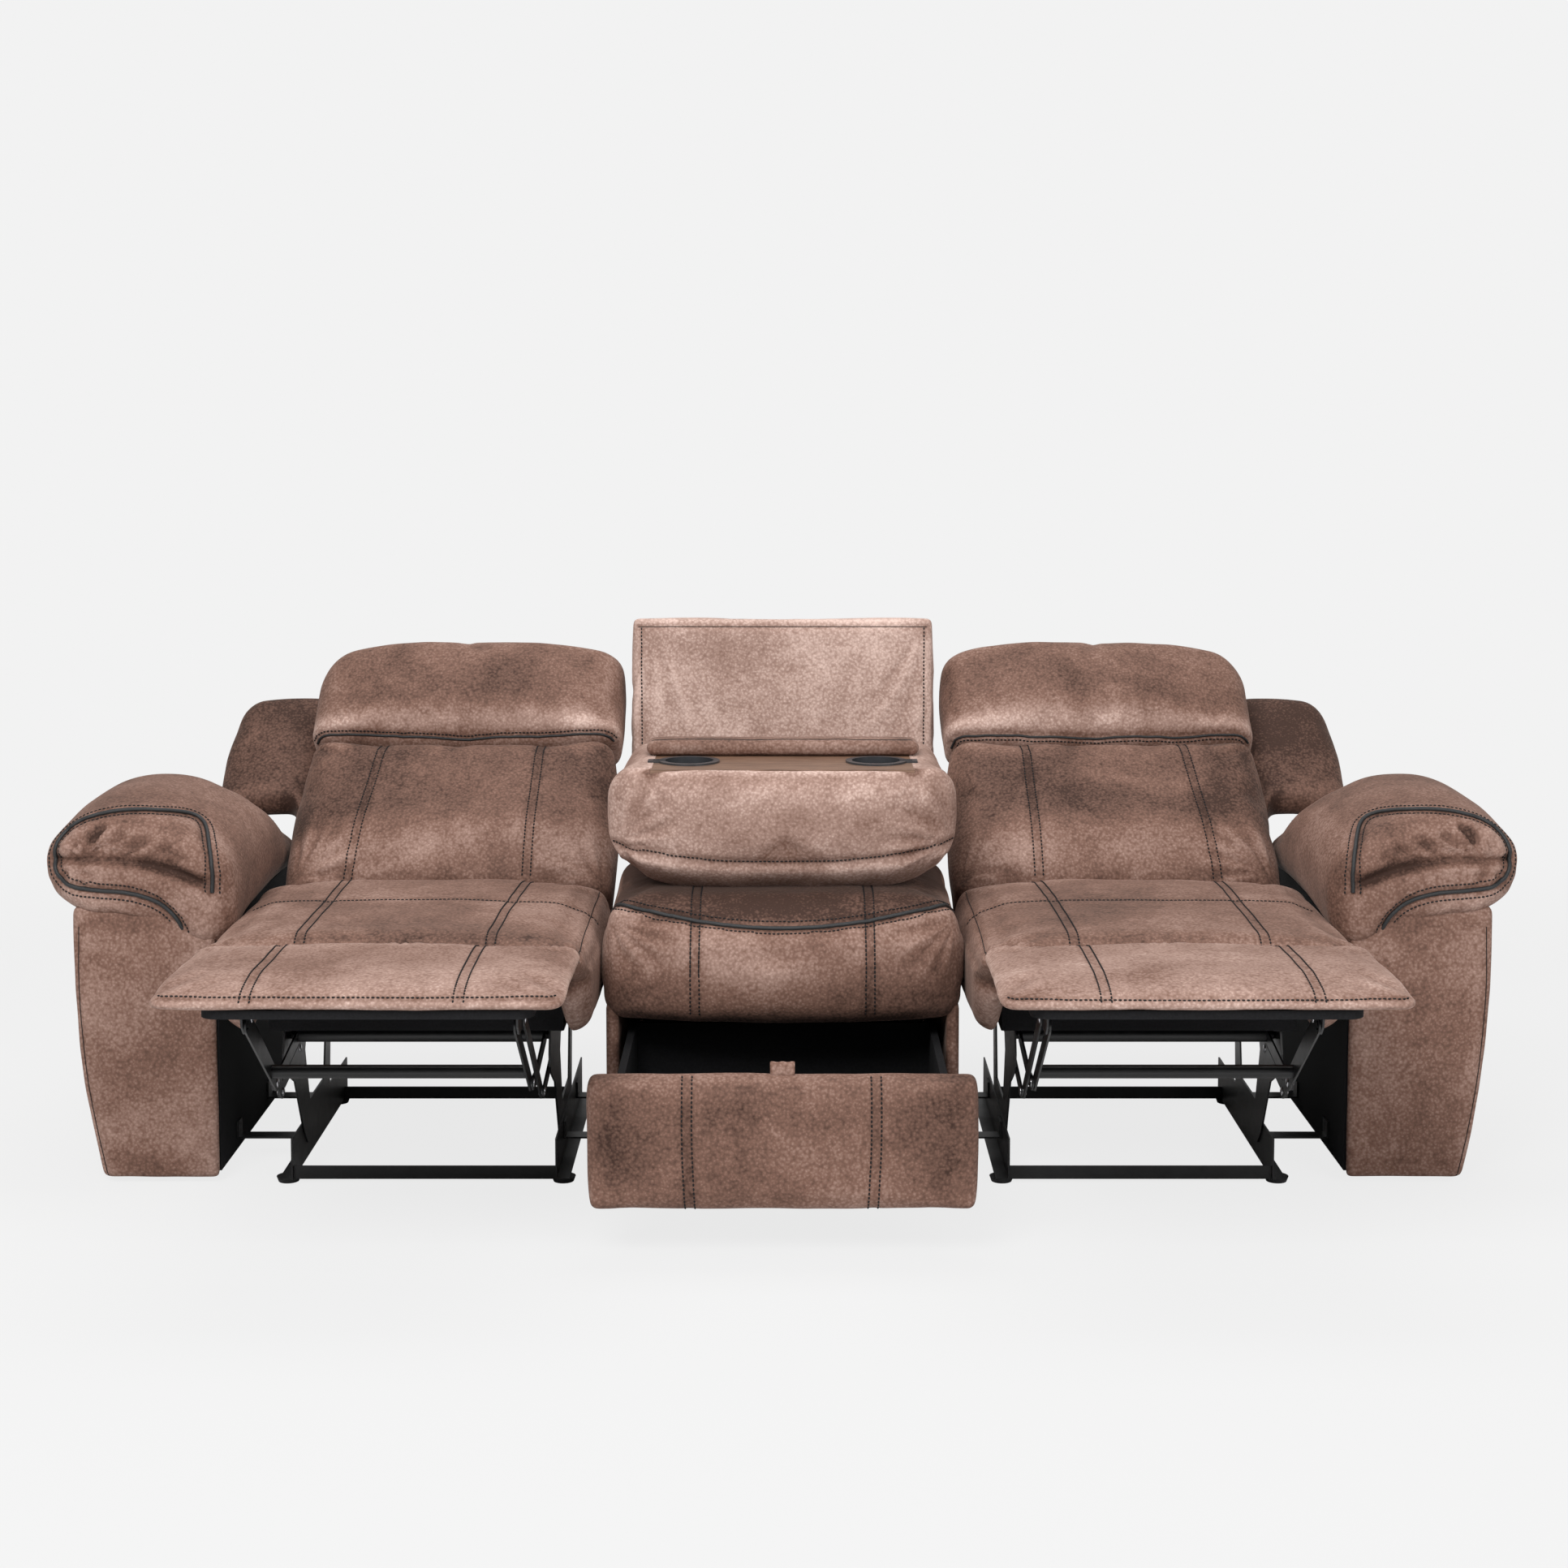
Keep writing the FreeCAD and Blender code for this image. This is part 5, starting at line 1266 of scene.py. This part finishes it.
def makeStrip():
    halfWide, halfLength, halfHeight = strip["halves"]

    def place(x, y, z):
        u, v, t = x / halfWide, unit(y, halfLength), unit(z, halfHeight)
        Z = strip["low"] + t * strip["thick"] - 0.003 * v * t
        return (x, strip["front"] + v * 2 * halfLength, Z + 0.002 * math.sin(math.pi * v) * t * (1 - u ** 6))

    o = cushion("console_strip", strip["halves"], strip, place, 91.0)
    lines = [seam([(-0.214, 0.095, 0.7), (0.0, 0.0935, 0.7), (0.214, 0.095, 0.7)], down, "edge", 0.0012, 0.004)]
    finishPad(o, "console", ["console_bar"], lines, 0.08)


makePanel()
makePillow()
makeStrip()


# stitches, cord and rivet heads are grown by geometry nodes and kept as plain meshes

rivet = {"radius": 0.0068, "proud": 0.0024, "near": 0.013, "split": 0.02}


def linesMesh(name, lines):
    points, edges = [], []
    for line in lines:
        start = len(points)
        points += line
        edges += [(start + i, start + i + 1) for i in range(len(line) - 1)]
    mesh = bpy.data.meshes.new(name)
    mesh.from_pydata(points, edges, [])
    return addToScene(name, mesh)


def startTree(name, **values):
    tree = bpy.data.node_groups.new(name, "GeometryNodeTree")
    sockets = tree.interface
    sockets.new_socket(name="Geometry", in_out="INPUT", socket_type="NodeSocketGeometry")
    for key, value in values.items():
        sockets.new_socket(name=key, in_out="INPUT", socket_type="NodeSocketFloat").default_value = value
    sockets.new_socket(name="Material", in_out="INPUT", socket_type="NodeSocketMaterial")
    sockets.new_socket(name="Geometry", in_out="OUTPUT", socket_type="NodeSocketGeometry")
    return tree, node(tree, "NodeGroupInput").outputs


def endTree(tree, come, made):
    real = node(tree, "GeometryNodeRealizeInstances")
    paint = node(tree, "GeometryNodeSetMaterial")
    go = node(tree, "NodeGroupOutput")
    wire(tree, (made, real.inputs[0]), (real.outputs[0], paint.inputs["Geometry"]),
         (come["Material"], paint.inputs["Material"]), (paint.outputs[0], go.inputs[0]))
    return tree


def beads(tree, points, segments, rings, x, y, z):
    # a stretched ball at each point
    ball = node(tree, "GeometryNodeMeshUVSphere", Segments=segments, Rings=rings, Radius=1.0)
    size = node(tree, "ShaderNodeCombineXYZ")
    put = node(tree, "GeometryNodeInstanceOnPoints")
    wire(tree, (points, put.inputs["Points"]), (ball.outputs["Mesh"], put.inputs["Instance"]),
         (x, size.inputs[0]), (y, size.inputs[1]), (z, size.inputs[2]), (size.outputs[0], put.inputs["Scale"]))
    return put


def stitchTree():
    tree, come = startTree("stitches", Pitch=sewing["pitch"], Length=sewing["length"], Thickness=sewing["thick"])
    curve = node(tree, "GeometryNodeMeshToCurve")
    spots = node(tree, "GeometryNodeCurveToPoints", mode="LENGTH")
    half = mathNode(tree, "MULTIPLY", come["Length"], 0.5)
    wire(tree, (come["Geometry"], curve.inputs[0]), (curve.outputs[0], spots.inputs["Curve"]),
         (come["Pitch"], spots.inputs["Length"]))
    put = beads(tree, spots.outputs["Points"], 6, 4, come["Thickness"], come["Thickness"], half)
    wire(tree, (spots.outputs["Rotation"], put.inputs["Rotation"]))
    return endTree(tree, come, put.outputs[0])


def cordTree():
    tree, come = startTree("cord", Radius=sewing["cord"])
    curve = node(tree, "GeometryNodeMeshToCurve")
    ring = node(tree, "GeometryNodeCurvePrimitiveCircle", Resolution=10)
    sweep = node(tree, "GeometryNodeCurveToMesh", Fill_Caps=True)
    soft = node(tree, "GeometryNodeSetShadeSmooth")
    wire(tree, (come["Geometry"], curve.inputs[0]), (come["Radius"], ring.inputs["Radius"]),
         (curve.outputs[0], sweep.inputs["Curve"]), (ring.outputs["Curve"], sweep.inputs["Profile Curve"]),
         (sweep.outputs[0], soft.inputs[0]))
    return endTree(tree, come, soft.outputs[0])


def rivetTree():
    tree, come = startTree("rivets", Radius=rivet["radius"], Proud=rivet["proud"])
    put = beads(tree, come["Geometry"], 10, 6, come["Proud"], come["Radius"], come["Radius"])
    soft = node(tree, "GeometryNodeSetShadeSmooth")
    wire(tree, (put.outputs[0], soft.inputs[0]))
    return endTree(tree, come, soft.outputs[0])


def grow(name, body, lines, tree, material, **values):
    o = linesMesh(name, lines)
    m = o.modifiers.new("grow", "NODES")
    m.node_group = tree
    values["Material"] = material
    for item in tree.interface.items_tree:
        if item.item_type == "SOCKET" and item.in_out == "INPUT" and item.name in values:
            m[item.identifier] = values[item.name]
    bake(o)
    if not o.data.materials:
        o.data.materials.append(material)
    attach(o, body)
    print("grown", name, len(o.data.polygons))


def rivetSpots(obj, pivot):
    # both outer faces of each plate that the pivot passes through
    world = np.array(obj.matrix_world)
    co = coordinates(obj) @ world[:3, :3].T + world[:3, 3]
    close = np.hypot(co[:, 1] - pivot[1], co[:, 2] - pivot[2]) < rivet["near"]
    values = np.unique(np.round(co[close][:, 0], 4))
    if len(values) == 0:
        return []
    groups = np.split(values, np.nonzero(np.diff(values) > rivet["split"])[0] + 1)
    return [(float(x), pivot[1], pivot[2]) for group in groups for x in (group[0], group[-1])]


stitches = stitchTree()
cords = cordTree()
for (body, kind), lines in sorted(sewn.items()):
    name = "%s_%s" % (kind, body)
    if kind == "stitch":
        grow(name, body, lines, stitches, materials["thread"])
    else:
        cloth = materials["thread" if kind == "edge" else "cord_cloth"]
        grow(name, body, lines, cords, cloth, Radius=sewing[kind])

heads = {}
for joint in frame["joints"]:
    side = joint["name"].split("_")[1]
    for nodeName, obj in frame["nodes"].items():
        if joint["name"].startswith("footrest") and nodeName.startswith("footrest_%s_link" % side):
            heads.setdefault(obj.parent.name.split(":")[1], []).extend(rivetSpots(obj, joint["pos_m"]))
rivets = rivetTree()
for body, spots in sorted(heads.items()):
    grow("rivets_" + body, body, [[p] for p in spots], rivets, materials["rivet_steel"])
